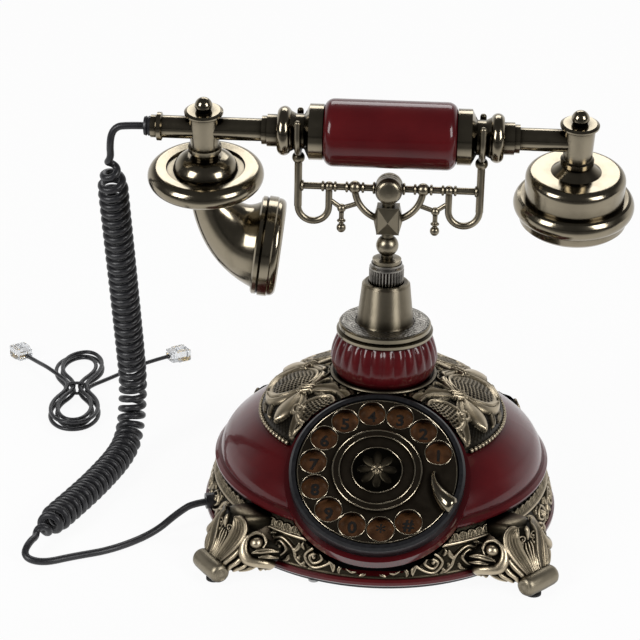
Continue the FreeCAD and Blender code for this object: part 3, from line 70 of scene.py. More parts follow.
# Sizes that several pieces share, in millimetres and degrees
CORD_RADIUS = 1.8
CORD_HEIGHT = 14.6
SKIRT_MID = 85
SHOULDER_MID = 45
HOLE_CIRCLE = 31
FIRST_HOLE = 20.7
HOLE_STEP = 25.5
DIAL_MARKS = "1234567890*#"
BAR_AXIS = 0.176  # in metres


# Material helpers
def shader(name, sockets):
    """A material, its tree and its main shader, with constant sockets set."""
    material = bpy.data.materials.new(name)
    material.use_nodes = True
    tree = material.node_tree
    main = tree.nodes["Principled BSDF"]
    for key, value in sockets.items():
        main.inputs[key].default_value = value
    return material, tree, main


def node(tree, kind, inputs=None, **settings):
    """A shader node; an input may be a value or another node's output."""
    made = tree.nodes.new("ShaderNode" + kind)
    for key, value in settings.items():
        setattr(made, key, value)
    for key, value in (inputs or {}).items():
        if isinstance(value, bpy.types.NodeSocket):
            tree.links.new(value, made.inputs[key])
        else:
            made.inputs[key].default_value = value
    return made


def ramp(tree, source, stops):
    """Colours read from a value."""
    made = node(tree, "ValToRGB", {"Fac": source})
    elements = made.color_ramp.elements
    while len(elements) < len(stops):
        elements.new(0.5)
    for element, (place, colour) in zip(elements, stops):
        element.position = place
        element.color = (*colour, 1)
    return made.outputs["Color"]


def spread(tree, source, low, high):
    """A value from 0 to 1 laid out between two others."""
    return node(tree, "MapRange", {"Value": source, "To Min": low, "To Max": high}).outputs["Result"]


def fade(tree, source, low, high):
    """A soft step, from 0 at the first value to 1 at the second."""
    inputs = {"Value": source, "From Min": low, "From Max": high}
    return node(tree, "MapRange", inputs, interpolation_type="SMOOTHSTEP").outputs["Result"]


def combine(tree, operation, a, b):
    """Two values added, multiplied or compared."""
    return node(tree, "Math", {0: a, 1: b}, operation=operation).outputs[0]


def noise(tree, size, detail=4.0, stretch=(1, 1, 1)):
    """Cloudy values with spots of about that size in millimetres."""
    where = node(tree, "TexCoord").outputs["Object"]
    place = node(tree, "Mapping", {"Vector": where, "Scale": stretch})
    inputs = {"Vector": place.outputs["Vector"], "Scale": 1 / (size * MM), "Detail": detail}
    return node(tree, "TexNoise", inputs).outputs["Fac"]


def bump(tree, main, source, depth, strength):
    made = node(tree, "Bump", {"Height": source, "Distance": depth * MM, "Strength": strength})
    tree.links.new(made.outputs["Normal"], main.inputs["Normal"])


def metal(name, stops, gloss, toned=False, brush=(1, 1, 1), hollow=6.0, grain=0.02):
    """Aged, mottled metal, with painted shade dark in its hollows and painted highlight bright on its high
    places.

    gloss is the span of roughness, hollow how far the painted shade of a hollow reaches and grain the depth
    of the bump.
    """
    material, tree, main = shader(name, {"Metallic": 1.0})
    # Painted shade: ambient occlusion darkens the colour in hollows and between parts
    height = node(tree, "AmbientOcclusion", {"Distance": hollow * MM}, samples=6).outputs["AO"]
    # On carved pieces the tone adds painted shade in recesses and painted highlight on crests
    if toned:
        tone = node(tree, "Attribute", attribute_name="tone").outputs["Fac"]
        height = combine(tree, "MULTIPLY", height, tone)
    # A random mottle on top of the painted shade and highlight picks the colour
    wear_and_shade = combine(tree, "ADD", spread(tree, noise(tree, 7.0, 6.0), -0.14, 0.14), height)
    tree.links.new(ramp(tree, wear_and_shade, stops), main.inputs["Base Color"])
    fine = noise(tree, 0.5, 3.0, brush)
    tree.links.new(spread(tree, noise(tree, 3.0, 5.0), *gloss), main.inputs["Roughness"])
    bump(tree, main, fine, grain, 0.6)
    return material


# Metal colour ramps: the low stops are painted shade in hollows, the high stops painted highlight on high
# places
BRONZE = [
    (0.12, (0.008, 0.0065, 0.0045)),
    (0.5, (0.06, 0.049, 0.033)),
    (0.8, (0.165, 0.142, 0.1)),
    (1.0, (0.29, 0.252, 0.185)),
]
CARVED = [
    (0.08, (0.008, 0.007, 0.005)),
    (0.3, (0.036, 0.03, 0.02)),
    (0.6, (0.2, 0.165, 0.112)),
    (0.92, (0.52, 0.44, 0.315)),
]
bronze = metal("antique_bronze", BRONZE, (0.1, 0.22))
carved = metal("carved_bronze", CARVED, (0.26, 0.46), toned=True)
satin = metal("satin_bronze", BRONZE, (0.36, 0.5))
cradle_metal = metal("cradle_bronze", BRONZE, (0.26, 0.38), brush=(2.0, 2.0, 0.3), grain=0.03)
brushed = metal("brushed_bronze", BRONZE, (0.36, 0.46), brush=(0.12, 0.12, 5.0), grain=0.03)
# The cone's lathe marks draw its highlights out
turned_way = node(brushed.node_tree, "Tangent", direction_type="RADIAL", axis="Z")
brushed_main = brushed.node_tree.nodes["Principled BSDF"]
brushed_main.inputs["Anisotropic"].default_value = 0.95
brushed_main.inputs["Anisotropic Rotation"].default_value = 0.25
brushed.node_tree.links.new(turned_way.outputs[0], brushed_main.inputs["Tangent"])
# These ramps too run from painted shade up to painted highlight
RIBBED = [(0.3, (0.012, 0.011, 0.01)), (0.7, (0.09, 0.085, 0.075)), (1.0, (0.3, 0.28, 0.25))]
ribbed_metal = metal("ribbed_steel", RIBBED, (0.16, 0.28), hollow=1.5)
SPECKLED = [(0.1, (0.02, 0.019, 0.017)), (0.4, (0.13, 0.122, 0.108)), (0.8, (0.42, 0.4, 0.36))]
speckled = metal("speckled_steel", SPECKLED, (0.28, 0.4), toned=True, hollow=2.0)
DARK = [(0.2, (0.006, 0.005, 0.004)), (0.9, (0.034, 0.026, 0.018)), (1.0, (0.07, 0.056, 0.04))]
wheel_metal = metal("wheel_bronze", DARK, (0.28, 0.42), brush=(0.3, 3.0, 3.0), hollow=3.0)
RIM = [(0.2, (0.14, 0.115, 0.075)), (1.0, (0.54, 0.47, 0.35))]
rim_metal = metal("bright_rim", RIM, (0.12, 0.24))
STEEL = [(0.2, (0.1, 0.1, 0.1)), (1.0, (0.5, 0.5, 0.5))]
steel = metal("plain_steel", STEEL, (0.25, 0.4))


def lacquer(name, deep, pale, rough):
    """A clear coat over a cloudy colour, with painted shade that darkens it in its hollows."""
    coat = {"Coat Weight": 0.6, "Coat Roughness": 0.03, "Specular IOR Level": 0.12, "Roughness": rough}
    material, tree, main = shader(name, coat)
    cloud = spread(tree, noise(tree, 18.0, 3.0), 0.5, 1.0)
    # Painted shade: ambient occlusion darkens the lacquer in hollows, down to its darkest stop
    hollows = node(tree, "AmbientOcclusion", {"Distance": 5 * MM}, samples=6).outputs["AO"]
    stops = [(0.1, tuple(0.25 * c for c in deep)), (0.6, deep), (0.9, pale)]
    shade = combine(tree, "MULTIPLY", cloud, hollows)
    tree.links.new(ramp(tree, shade, stops), main.inputs["Base Color"])
    bump(tree, main, noise(tree, 9.0, 2.0), 0.03, 0.25)
    return material


red = lacquer("burgundy_lacquer", (0.068, 0.0046, 0.0066), (0.106, 0.0074, 0.0092), 0.3)


def plastic(name, deep, pale, rough, size, depth, extra=None):
    """A faintly mottled surface, with spots of about that size."""
    material, tree, main = shader(name, extra or {})
    cloud = noise(tree, size, 5.0)
    tree.links.new(ramp(tree, cloud, [(0.3, deep), (0.7, pale)]), main.inputs["Base Color"])
    tree.links.new(spread(tree, noise(tree, size * 2), *rough), main.inputs["Roughness"])
    bump(tree, main, noise(tree, size * 0.3), depth, 0.5)
    return material


black = plastic("satin_black", (0.007, 0.007, 0.008), (0.014, 0.014, 0.016), (0.24, 0.36), 2.0, 0.02)
rubber = plastic("cord_black", (0.010, 0.010, 0.012), (0.022, 0.022, 0.025), (0.3, 0.45), 1.2, 0.02)
felt = plastic("pad_felt", (0.01, 0.01, 0.01), (0.04, 0.04, 0.04), (0.8, 0.95), 0.8, 0.1)
amber = plastic("amber_plate", (0.05, 0.021, 0.008), (0.112, 0.047, 0.018), (0.2, 0.32), 5.0, 0.02)
ink = plastic("numeral_ink", (0.004, 0.003, 0.003), (0.010, 0.008, 0.006), (0.35, 0.5), 0.6, 0.005)
board = plastic("board_green", (0.01, 0.08, 0.03), (0.02, 0.13, 0.05), (0.4, 0.6), 3.0, 0.02)
GLASSY = {"Transmission Weight": 0.85, "IOR": 1.46}
clear = plastic("clear_plug", (0.86, 0.88, 0.9), (0.95, 0.96, 0.97), (0.05, 0.12), 2.0, 0.01, GLASSY)
gold, gold_tree, gold_main = shader("contact_gold", {"Metallic": 1.0, "Roughness": 0.25})
gold_tones = [(0.3, (0.55, 0.36, 0.1)), (0.7, (0.8, 0.58, 0.2))]
gold_tree.links.new(ramp(gold_tree, noise(gold_tree, 0.6), gold_tones), gold_main.inputs["Base Color"])

# Finishes of the solids, some of which are replaced below
FINISHES = {
    "red_lacquer": red,
    "antique_bronze": bronze,
    "dark_bronze": wheel_metal,
    "steel": steel,
    "black_plastic": black,
    "amber_plate": amber,
    "board_green": board,
    "pad_rubber": felt,
    "cord_rubber": rubber,
    "tie_wire": rubber,
    "clear_plug": clear,
}
for part in frame["record"]["subparts"]:
    thing = NODES[part["node"]]
    thing.data.materials.clear()
    thing.data.materials.append(FINISHES[part["material_slot"]])


# Mesh helpers, all sizes in millimetres
def added(name, data):
    """A new object in the scene."""
    thing = bpy.data.objects.new(name, data)
    scene.collection.objects.link(thing)
    return thing


def meshed(name, curve):
    """The mesh that a curve or a letter makes."""
    holder = added(name, curve)
    bpy.context.view_layer.update()
    mesh = bpy.data.meshes.new_from_object(holder)
    bpy.data.objects.remove(holder)
    return mesh


def build(name, verts, faces, material, body, tone=None, sharp=40.0, place=None):
    """A piece from points and faces; tone is the painted shade and highlight of its carving, sharp is the
    angle of its edges.
    """
    mesh = bpy.data.meshes.new(name)
    mesh.from_pydata((np.asarray(verts, float).reshape(-1, 3) * MM).tolist(), [], faces)
    mesh.update()
    mesh.shade_smooth()
    mesh.set_sharp_from_angle(angle=math.radians(sharp))
    # The tone attribute brings painted shade and painted highlight into the metal's colour
    if tone is not None:
        layer = mesh.attributes.new("tone", "FLOAT", "POINT")
        layer.data.foreach_set("value", np.asarray(tone, np.float32).ravel())
    mesh.materials.append(material)
    thing = added(name, mesh)
    if place is not None:
        mesh.transform(place)
    if body:
        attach(thing, body)
    return thing


def grid(rows, columns, around=False, start=0):
    """Quads over a grid of points, row after row."""
    width = columns if around else columns - 1
    i, j = np.meshgrid(np.arange(rows - 1), np.arange(width), indexing="ij")
    a = i * columns + j
    b = i * columns + (j + 1) % columns
    quads = np.stack([a, b, b + columns, a + columns], -1).reshape(-1, 4) + start
    return quads.tolist()


def round_turn(count):
    """Evenly spaced angles once round."""
    return np.linspace(0, 2 * np.pi, count, endpoint=False)


def capped(rows, columns):
    """Quads round a rod of points, with a face on each end."""
    first = list(range(columns))
    last = [(rows - 1) * columns + k for k in first]
    return grid(rows, columns, True) + [first[::-1], last]


def through(points, count):
    """A smooth line through the given points."""
    p = np.asarray(points, float)
    p = np.vstack([2 * p[0] - p[1], p, 2 * p[-1] - p[-2]])
    t = np.linspace(0, len(p) - 3 - 1e-9, count)
    k = t.astype(int)
    f = (t - k)[:, None]
    a, b, c, d = p[k], p[k + 1], p[k + 2], p[k + 3]
    bend = (2 * a - 5 * b + 4 * c - d) * f**2
    return 0.5 * (2 * b + (c - a) * f + bend + (3 * b - a - 3 * c + d) * f**3)


def even(points, count):
    """Evenly spaced points along a line of points, and its length."""
    p = np.asarray(points, float)
    far = np.concatenate([[0], np.cumsum(np.linalg.norm(np.diff(p, axis=0), axis=1))])
    at = np.linspace(0, far[-1], count)
    return np.stack([np.interp(at, far, p[:, k]) for k in range(p.shape[1])], 1), far[-1]


def frames(points):
    """Two steady side directions at each point of a line."""
    ways = np.gradient(points, axis=0)
    ways /= np.linalg.norm(ways, axis=1)[:, None]
    side = np.cross(ways[0], (0.3, 1.0, 0.2))
    sides = []
    for way in ways:
        side = side - way * side.dot(way)
        side /= np.linalg.norm(side)
        sides.append(side)
    sides = np.array(sides)
    return sides, np.cross(ways, sides)


def tube(name, points, radius, material, body, ring):
    """A round rod along a line, with closed ends; the radius may vary."""
    points = np.asarray(points, float)
    wide = np.broadcast_to(np.asarray(radius, float), len(points))
    side, across = frames(points)
    turn = round_turn(ring)[None, :, None]
    spin = np.cos(turn) * side[:, None] + np.sin(turn) * across[:, None]
    verts = points[:, None] + wide[:, None, None] * spin
    return build(name, verts, capped(len(points), ring), material, body)


def lathe(name, profile, material, body, count, place=None, swell=None, sharp=32.0):
    """A turned shape; swell(turn, row) may add lobes to the radius."""
    p = np.asarray(profile, float)
    turn = round_turn(count)
    radius = np.repeat(p[:, :1], count, 1)
    if swell is not None:
        radius = radius + swell(turn[None, :], np.arange(len(p))[:, None])
    x = radius * np.cos(turn)
    y = radius * np.sin(turn)
    z = np.repeat(p[:, 1:2], count, 1)
    faces = grid(len(p), count, True)
    return build(name, np.stack([x, y, z], -1), faces, material, body, None, sharp, place)


def joined(things, name):
    """Several pieces of one body made into one object."""
    with bpy.context.temp_override(
        active_object=things[0], selected_objects=things, selected_editable_objects=things
    ):
        bpy.ops.object.join()
    things[0].name = name
    things[0].data.name = name
    return things[0]


# Carving: heights from the distance to strokes
def arch(q):
    """Height of a round ridge, from 1 in its middle to 0 at its edges, where q is 1 or -1."""
    return np.sqrt(np.clip(1 - q**2, 0, 1))


def strokes_height(x, y, strokes):
    """Highest of all strokes at each point. A stroke is points, half width, height and kind."""
    flat_x, flat_y = x.ravel(), y.ravel()
    best = np.zeros(flat_x.shape)
    for points, width, height, kind in strokes:
        line = through(points, 12 * len(points))
        t = np.linspace(0, 1, len(line))
        near = np.full(flat_x.shape, 1e9)
        along = np.zeros(flat_x.shape)
        for (px, py), share in zip(line, t):
            d = (flat_x - px) ** 2 + (flat_y - py) ** 2
            closer = d < near
            near[closer] = d[closer]
            along[closer] = share
        wide = np.full(flat_x.shape, float(width))
        if kind == "leaf":
            wide *= np.maximum(0.08, np.sin(np.pi * along**0.8) ** 0.7)
        elif kind == "ribbon":
            wide *= 0.4 + 0.6 * np.sin(np.pi * along**1.2) ** 0.7
        elif kind == "petal":
            wide *= np.maximum(0.1, np.sin(np.pi * along**1.5) ** 0.6)
        q = np.sqrt(near) / wide
        rise = height * arch(q)
        if kind == "ribbon":
            rise = height * np.clip((1 - q) / 0.2, 0, 1) ** 0.5 * (0.5 + 0.5 * np.clip(q, 0, 1) ** 2.5)
        elif kind == "leaf":
            rise *= 1 - 0.38 * np.exp(-((q / 0.14) ** 2))
        best = np.maximum(best, rise)
    return best.reshape(x.shape)


def spiral(cx, cy, radius, start, turns, shrink=0.2, count=26):
    """Points of a volute from outside to its eye; turns may be negative."""
    t = np.linspace(0, 1, count)
    angle = math.radians(start) + 2 * np.pi * turns * t
    r = radius * (1 - (1 - shrink) * t)
    return np.stack([cx + r * np.cos(angle), cy + r * np.sin(angle)], 1)


# Cords: routes first, then the tubes that follow them
def route_points(name, points, steps=24):
    """Points read from a smooth spline with the route as its control points."""
    curve = bpy.data.curves.new(name, "CURVE")
    curve.dimensions = "3D"
    curve.resolution_u = steps
    spline = curve.splines.new("NURBS")
    spline.points.add(len(points) - 1)
    for spot, point in zip(spline.points, points):
        spot.co = (*(v * MM for v in point), 1)
    spline.order_u = 3
    spline.use_endpoint_u = True
    mesh = meshed(name, curve)
    read = np.array([v.co for v in mesh.vertices]) / MM
    bpy.data.meshes.remove(mesh)
    return read


# Curly cord: from the handset down to the table, forward and back to the base
CURL = 5.9
COIL_TURNS = 52
COIL_EASE = 26.0
COIL_LOW = CURL + CORD_RADIUS + 0.3
COIL_TOP = (-136, 1, 187)
COIL_FOOT = (-170, -62, COIL_LOW)
CORD_STEPS = 2400
CORD_ANGLE = math.radians(197)
CORD_WAY = np.array([math.cos(CORD_ANGLE), math.sin(CORD_ANGLE), 0])
BASE_EXIT = CORD_WAY * 91 + (0, 0, CORD_HEIGHT)
handset_route = [
    (-115.2, 0, 203.5),
    (-124.0, 0, 203.5),
    (-134.0, 0, 202.5),
    (-136.0, 0, 190.0),
    (-136.0, 18.5, 144.0),
    (-136.0, 37.0, 98.0),
    (-136.0, 54.5, 52.0),
    (-136.0, 58.5, 36.0),
    (-136.5, 52.0, 16.0),
    (-138.0, 36.0, COIL_LOW),
    (-147.0, 0, COIL_LOW),
    (-158.0, -31.0, COIL_LOW),
    (-170.0, -62.0, COIL_LOW),
    (-172.0, -72.0, 4.0),
    (-162.0, -74.0, 2.0),
    (-148.0, -66.0, 2.0),
    (-130.0, -58.0, 2.0),
    (-112.0, -40.0, 2.0),
    tuple(CORD_WAY * 105 + (0, 0, 9.6)),
    tuple(BASE_EXIT + CORD_WAY * 5),
    tuple(CORD_WAY * 77 + (0, 0, CORD_HEIGHT)),
]
axis, axis_length = even(route_points("handset_route", handset_route), CORD_STEPS)
at = np.linspace(0, axis_length, CORD_STEPS)
coil_start = at[np.argmin(np.linalg.norm(axis - COIL_TOP, axis=1))] - 4
coil_end = at[np.argmin(np.linalg.norm(axis - COIL_FOOT, axis=1))]
grow = np.clip((at - coil_start) / COIL_EASE, 0, 1) * np.clip((coil_end - at) / COIL_EASE, 0, 1)
grow = grow * grow * (3 - 2 * grow)
side, across = frames(axis)
# The winding slows at both ends, where its radius is small
wound = np.cumsum(np.where((at > coil_start) & (at < coil_end), 0.3 + 0.7 * grow, 0.0))
phase = 2 * np.pi * COIL_TURNS * wound / wound[-1]
curl = (np.cos(phase)[:, None] * side + np.sin(phase)[:, None] * across) * (CURL * grow)[:, None]
handset_path, handset_length = even(axis + curl, CORD_STEPS)
curly = tube("curly_cord", handset_path, CORD_RADIUS, rubber, None, 12)
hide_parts("handset_cord")
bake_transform(curly)

# Line cord, tied in a flat hank
LINE = 2.3
LINE_STEP = LINE + 1.4
FLAT = LINE / 2 + 1.0
PLUG = (12.4, 9.6, 6.6)
PLUG_HEIGHT = PLUG[2] / 2 + 0.1
HANK_TURN = math.radians(97)
HANK_X, HANK_Y = -178.0, 118.0
HANK_REACH, HANK_WIDE = 48.0, 17.0
WAIST, WAIST_LONG = 1.7, 5.0


def hank_spot(along, across, height):
    """A place on the table from a place in the hank."""
    x = along * math.cos(HANK_TURN) - across * math.sin(HANK_TURN)
    y = along * math.sin(HANK_TURN) + across * math.cos(HANK_TURN)
    return (x + HANK_X, y + HANK_Y, height)


# One round of the hank, in shares of its reach and width
HALF_LOOP = [(-0.42, -0.78), (-0.76, -0.8), (-1.0, -0.36), (-1.0, 0.36), (-0.76, 0.8), (-0.42, 0.78)]
LOOP = HALF_LOOP + [(-along, -over) for along, over in HALF_LOOP]
# Four rounds in two layers, from the far plug to the near one
hank = [
    (44.0, -52.0, PLUG_HEIGHT),
    (38.0, -41.0, PLUG_HEIGHT - 0.4),
    (29.0, -30.0, FLAT + 0.2),
    (17.0, -18.0, FLAT),
]
for i in range(4):
    inner, layer = (i + 1) // 2 % 2, i // 2
    waist = WAIST + LINE_STEP * (1 - inner)
    height = FLAT + LINE_STEP * layer
    climb = LINE_STEP if i == 1 else 0.0
    hank += [(WAIST_LONG, -waist, height), (-WAIST_LONG, -waist, height)]
    for order, (along, over) in enumerate(HALF_LOOP if i == 3 else LOOP):
        lift = climb * max(0, order - 8) / 3
        inset = 0 if i == 2 and order > 8 else inner
        wide = HANK_WIDE - 1.27 * LINE_STEP * inset - 0.4 * layer
        reach = HANK_REACH - LINE_STEP * inset - 0.8 * layer
        hank.append((reach * along, wide * over, height + lift))
        if order == 5:
            hank += [(-WAIST_LONG, waist, height), (WAIST_LONG, waist, height)]
TOP = FLAT + LINE_STEP
hank += [
    (13.0, 11.0, TOP + 0.6),
    (24.0, 18.5, TOP + 0.8),
    (36.0, 25.0, PLUG_HEIGHT + 1.0),
    (47.0, 32.0, PLUG_HEIGHT),
]
hank = [hank_spot(*spot) for spot in hank]
line_path, line_length = even(route_points("line_route", hank, 16), 900)
line = tube("line_cord_look", line_path, LINE / 2, rubber, "base", 10)
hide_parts("line_cord")


def plug_piece(name, end, before):
    """A clear modular plug with a latch and four contacts."""
    end, before = np.array(end), np.array(before)
    way = end - before
    way[2] = 0
    way /= np.linalg.norm(way)
    left = np.cross((0, 0, 1), way)
    long, wide, tall = PLUG
    sections = [(0.0, 0.72, 0.74), (0.6, 0.86, 0.86), (4.0, 0.9, 0.9)]
    sections += [(4.6, 1.0, 1.0), (11.6, 1.0, 1.0), (long, 0.92, 0.9)]
    corners = [(-1, -1), (-0.8, -1), (0.8, -1), (1, -1), (1, -0.7)]
    corners += [(1, 0.7), (1, 1), (0.8, 1), (-0.8, 1), (-1, 1)]
    verts = []
    for far, w, t in sections:
        for a, b in corners:
            verts.append(end + way * far + left * (a * w * wide / 2) + np.array((0, 0, b * t * tall / 2)))
    body = build(name, verts, capped(len(sections), len(corners)), clear, "base", None, 25)
    top = end[2] + tall / 2
    latch = []
    for far, rise in ((12.0, 0.2), (10.0, 0.9), (5.0, 1.5), (0.5, 1.6), (-1.0, 1.5)):
        for a, extra in ((-1.6, 0.0), (1.6, 0.0), (1.6, 0.7), (-1.6, 0.7)):
            point = end + way * far + left * a
            latch.append((point[0], point[1], min(top - 1.9 + rise + extra, top)))
    tab = build(name + "_latch", latch, capped(5, 4), clear, "base", None, 25)
    contacts = []
    for k in range(4):
        start = end + left * ((k - 1.5) * 1.27) + way * 7.6 + np.array((0, 0, -tall / 2 + 0.5))
        strip = [start, start + way * 2.2, start + way * 4.4]
        contacts.append(tube(f"{name}_contact_{k}", strip, 0.3, gold, "base", 8))
    tips = joined(contacts, name + "_contacts")
    return [body, tab, tips]


plugs = plug_piece("plug_far", hank[0], hank[1]) + plug_piece("plug_near", hank[-1], hank[-2])
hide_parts("line_plugs")
TIE_TURNS, TIE_STEPS = 3, 20
tie_wide = WAIST + LINE_STEP + LINE / 2 + 0.55
tie_high = LINE_STEP + LINE + 0.8
tie_line = []
for k in range(TIE_TURNS * TIE_STEPS + 1):
    turn = 2 * np.pi * k / TIE_STEPS
    height = tie_high / 2 + 0.8 + (tie_high / 2) * math.sin(turn)
    tie_line.append(hank_spot(0.9 * (k / TIE_STEPS - TIE_TURNS / 2), tie_wide * math.cos(turn), height))
tie = tube("wire_tie", through(tie_line, 180), 0.5, rubber, "base", 8)
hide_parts("cord_tie")

# Dial frame: local x across, y up the dial, z out of it
TILT = math.radians(35)
DIAL = Matrix.Translation((0, -0.064, 0.056)) @ Matrix.Rotation(TILT, 4, "X")
FROM_DIAL = np.array(DIAL.inverted())


def near_dial(points):
    """Distance from the dial's axis and height over its face, in millimetres."""
    p = np.asarray(points) * MM
    q = p @ FROM_DIAL[:3, :3].T + FROM_DIAL[:3, 3]
    return np.hypot(q[..., 0], q[..., 1]) / MM, q[..., 2] / MM


def carved_skin(name, profile, degrees, field, drop):
    """A skin round the vertical axis with raised ornament; drop(points) leaves faces out."""
    line = np.asarray(profile, float)
    turn = np.radians(degrees)
    slope = np.gradient(line, axis=0)
    slope /= np.linalg.norm(slope, axis=1)[:, None]
    out = np.stack([slope[:, 1], -slope[:, 0]], 1)
    far = np.concatenate([[0], np.cumsum(np.linalg.norm(np.diff(line, axis=0), axis=1))])
    rise, tone = field(turn[None, :], far[:, None], line[:, :1])
    radius = line[:, :1] + out[:, :1] * rise
    z = line[:, 1:2] + out[:, 1:2] * rise
    points = np.stack([radius * np.cos(turn), radius * np.sin(turn), z], -1)
    faces = np.array(grid(len(line), len(turn)))
    gone = drop(points.reshape(-1, 3))
    faces = faces[~gone[faces].any(1)]
    return build(name, points, faces.tolist(), carved, "base", tone, 180)


def rough(x, y, size, seed=0.0):
    """Small steady unevenness from crossed waves."""
    a = np.sin(x / size * 2.1 + seed) * np.sin(y / size * 2.7 + 1.3 * seed)
    b = np.sin(x / size * 5.3 + y / size * 3.1 + seed) * np.sin(y / size * 4.7 - x / size * 1.9)
    return 0.5 * (a + b)


def weave(x, y, step):
    """Crossed lines, from 0 in the squares to 1 on the lines."""
    a = (x + 0.25 * y) / step % 1 - 0.5
    b = (y - 0.25 * x) / step % 1 - 0.5
    return np.maximum(np.exp(-((a / 0.2) ** 2)), np.exp(-((b / 0.2) ** 2)))


# Shoulder ornament: cartouches of lattice between bound leaves, in four like quarters
HALF = math.radians(45) * SHOULDER_MID
SHOULDER = [
    ([(HALF, 30), (28, 30.5), (21, 34), (15, 39)], 3.2, 2.5, "ribbon"),
    ([(15, 38), (10.5, 33.5), (5, 30.5), (0, 30)], 2.7, 2.3, "leaf"),
    ([(16.4, 42), (20.4, 49.5), (23.6, 58.8)], 5.0, 2.6, "petal"),
    ([(17.5, 41), (24.5, 45), (30.5, 51), (35, 59.5)], 2.5, 2.4, "ribbon"),
    ([(14, 42.5), (13.6, 49), (9, 55), (0, 57.3)], 3.9, 2.7, "leaf"),
    ([(12, 56), (15, 58), (18.5, 59.5)], 1.5, 1.8, "leaf"),
    ([(5, 58.5), (9, 59.6), (13, 59.8)], 1.2, 1.5, "leaf"),
    ([(23, 38), (27, 36), (32, 35.2)], 1.4, 1.7, "leaf"),
    ([(1.5, 27.2), (5, 26.8), (8.4, 28.6), (8.2, 31)], 0.9, 1.5, "plain"),
    ([(14.5, 34.5), (13.5, 30.5), (15.5, 27.2), (19.5, 27)], 1.1, 1.5, "plain"),
    ([(21.5, 30.6), (24, 27.6), (28.5, 26.8)], 1.3, 1.5, "leaf"),
    ([(33, 27), (35.3, 27.2)], 1.2, 1.5, "plain"),
    (spiral(28.2, 49.0, 3.4, 200, -1.3), 1.0, 2.0, "plain"),
    ([(28.2, 48.9), (28.3, 49.1)], 1.5, 2.3, "plain"),
    ([(11.6, 40.6), (14, 39), (16.4, 36)], 0.95, 3.2, "plain"),
    ([(13.1, 42.1), (15.5, 40.4), (18, 37.4)], 0.95, 3.4, "plain"),
    ([(14.8, 43.4), (17.2, 41.7), (19.6, 38.8)], 0.95, 3.2, "plain"),
]


def shoulder_field(turn, far, radius):
    """Height and tone of the shoulder's ornament, worked out on one half of a quarter; the tone is painted
    shade, lighter on raised parts as painted highlight.
    """
    folded = np.abs((np.degrees(turn[0]) + 45) % 90 - 45)
    keys, back = np.unique(np.round(folded, 3), return_inverse=True)
    tile_x, tile_y = np.broadcast_arrays(np.radians(keys)[None, :] * SHOULDER_MID, radius)
    tile = strokes_height(tile_x, tile_y, SHOULDER)
    ground = 0.3 + 0.3 * rough(tile_x, tile_y, 0.7)
    # Painted shade: the low ground is dark and gets lighter where it rises
    shade = 0.06 + 0.45 * ground
    for cx, cy, wide, tall, lift in ((0, 44.2, 12.2, 11.6, 1.5), (HALF, 44, 8.6, 9.6, 1.0)):
        e = np.hypot((tile_x - cx) / wide, (tile_y - cy) / tall)
        lines = weave(tile_x, tile_y, 1.9)
        net = 0.3 + lift * arch(e) + 0.4 * lines
        # Lattice lines and the rim are lighter as painted highlight
        shade = np.where((e < 1) & (net > ground), 0.1 + 0.62 * lines, shade)
        ground = np.where(e < 1, np.maximum(ground, net), ground)
        rim = 1.9 * arch((e - 1) * min(wide, tall) / 1.1)
        shade = np.where(rim > ground, 0.25 + 0.35 * rim, shade)
        ground = np.maximum(ground, rim)
    # Raised strokes get lighter with height as painted highlight
    shade = np.where(tile > ground, 0.12 + 0.88 * np.clip(tile / 2.4, 0, 1) ** 0.9, shade)
    tile = np.maximum(tile, ground)
    edge = np.clip((tile_y - 25.6) / 1.2, 0, 1) * np.clip((60.6 - tile_y) / 0.8, 0, 1)
    return (tile * edge)[:, back], shade[:, back]


COLLAR = [(61.0, 56.6), (60.8, 58.8), (58.2, 62.4), (52.6, 66.6), (45.2, 70.0), (38.4, 72.5), (32.4, 74.7)]
COLLAR += [(28.4, 76.6), (25.4, 77.4)]
collar_line, _ = even(through(COLLAR, 200), 104)


def in_housing(points):
    """Which points lie inside the dial housing."""
    away, high = near_dial(points)
    return (away < 44.4) | ((away < 45.3) & (high > -7.2))


for k in range(2):
    degrees = np.linspace(180 * k, 180 * k + 180, 361)
    skin = carved_skin(f"shoulder_relief_{k}", collar_line, degrees, shoulder_field, in_housing)
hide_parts("shoulder_collar")


def balls(name, centres, radius, material, body, rows=7, ring=10):
    """Many small beads in one object."""
    lat = np.linspace(-np.pi / 2, np.pi / 2, rows)[:, None]
    lon = round_turn(ring)
    unit = [np.cos(lat) * np.cos(lon), np.cos(lat) * np.sin(lon), np.repeat(np.sin(lat), ring, 1)]
    unit = np.stack(unit, -1).reshape(-1, 3)
    verts, faces = [], []
    for k, centre in enumerate(centres):
        verts.append(np.asarray(centre) + radius * unit)
        faces += grid(rows, ring, True, k * len(unit))
    # The beads all take the bright tone of the carving's painted highlight
    tone = np.full(len(centres) * len(unit), 0.9)
    return build(name, np.concatenate(verts), faces, material, body, tone)


BEADS = 134
BEAD_RADIUS, BEAD_CIRCLE, BEAD_HEIGHT = 1.38, 61.3, 57.4
HOUSING_EDGE = 46.2
beads = []
for k in range(BEADS):
    turn = 2 * np.pi * k / BEADS
    point = (BEAD_CIRCLE * math.cos(turn), BEAD_CIRCLE * math.sin(turn), BEAD_HEIGHT)
    away, _ = near_dial(point)
    if away > HOUSING_EDGE:
        beads.append(point)
balls("shoulder_beads", beads, BEAD_RADIUS, carved, "base")

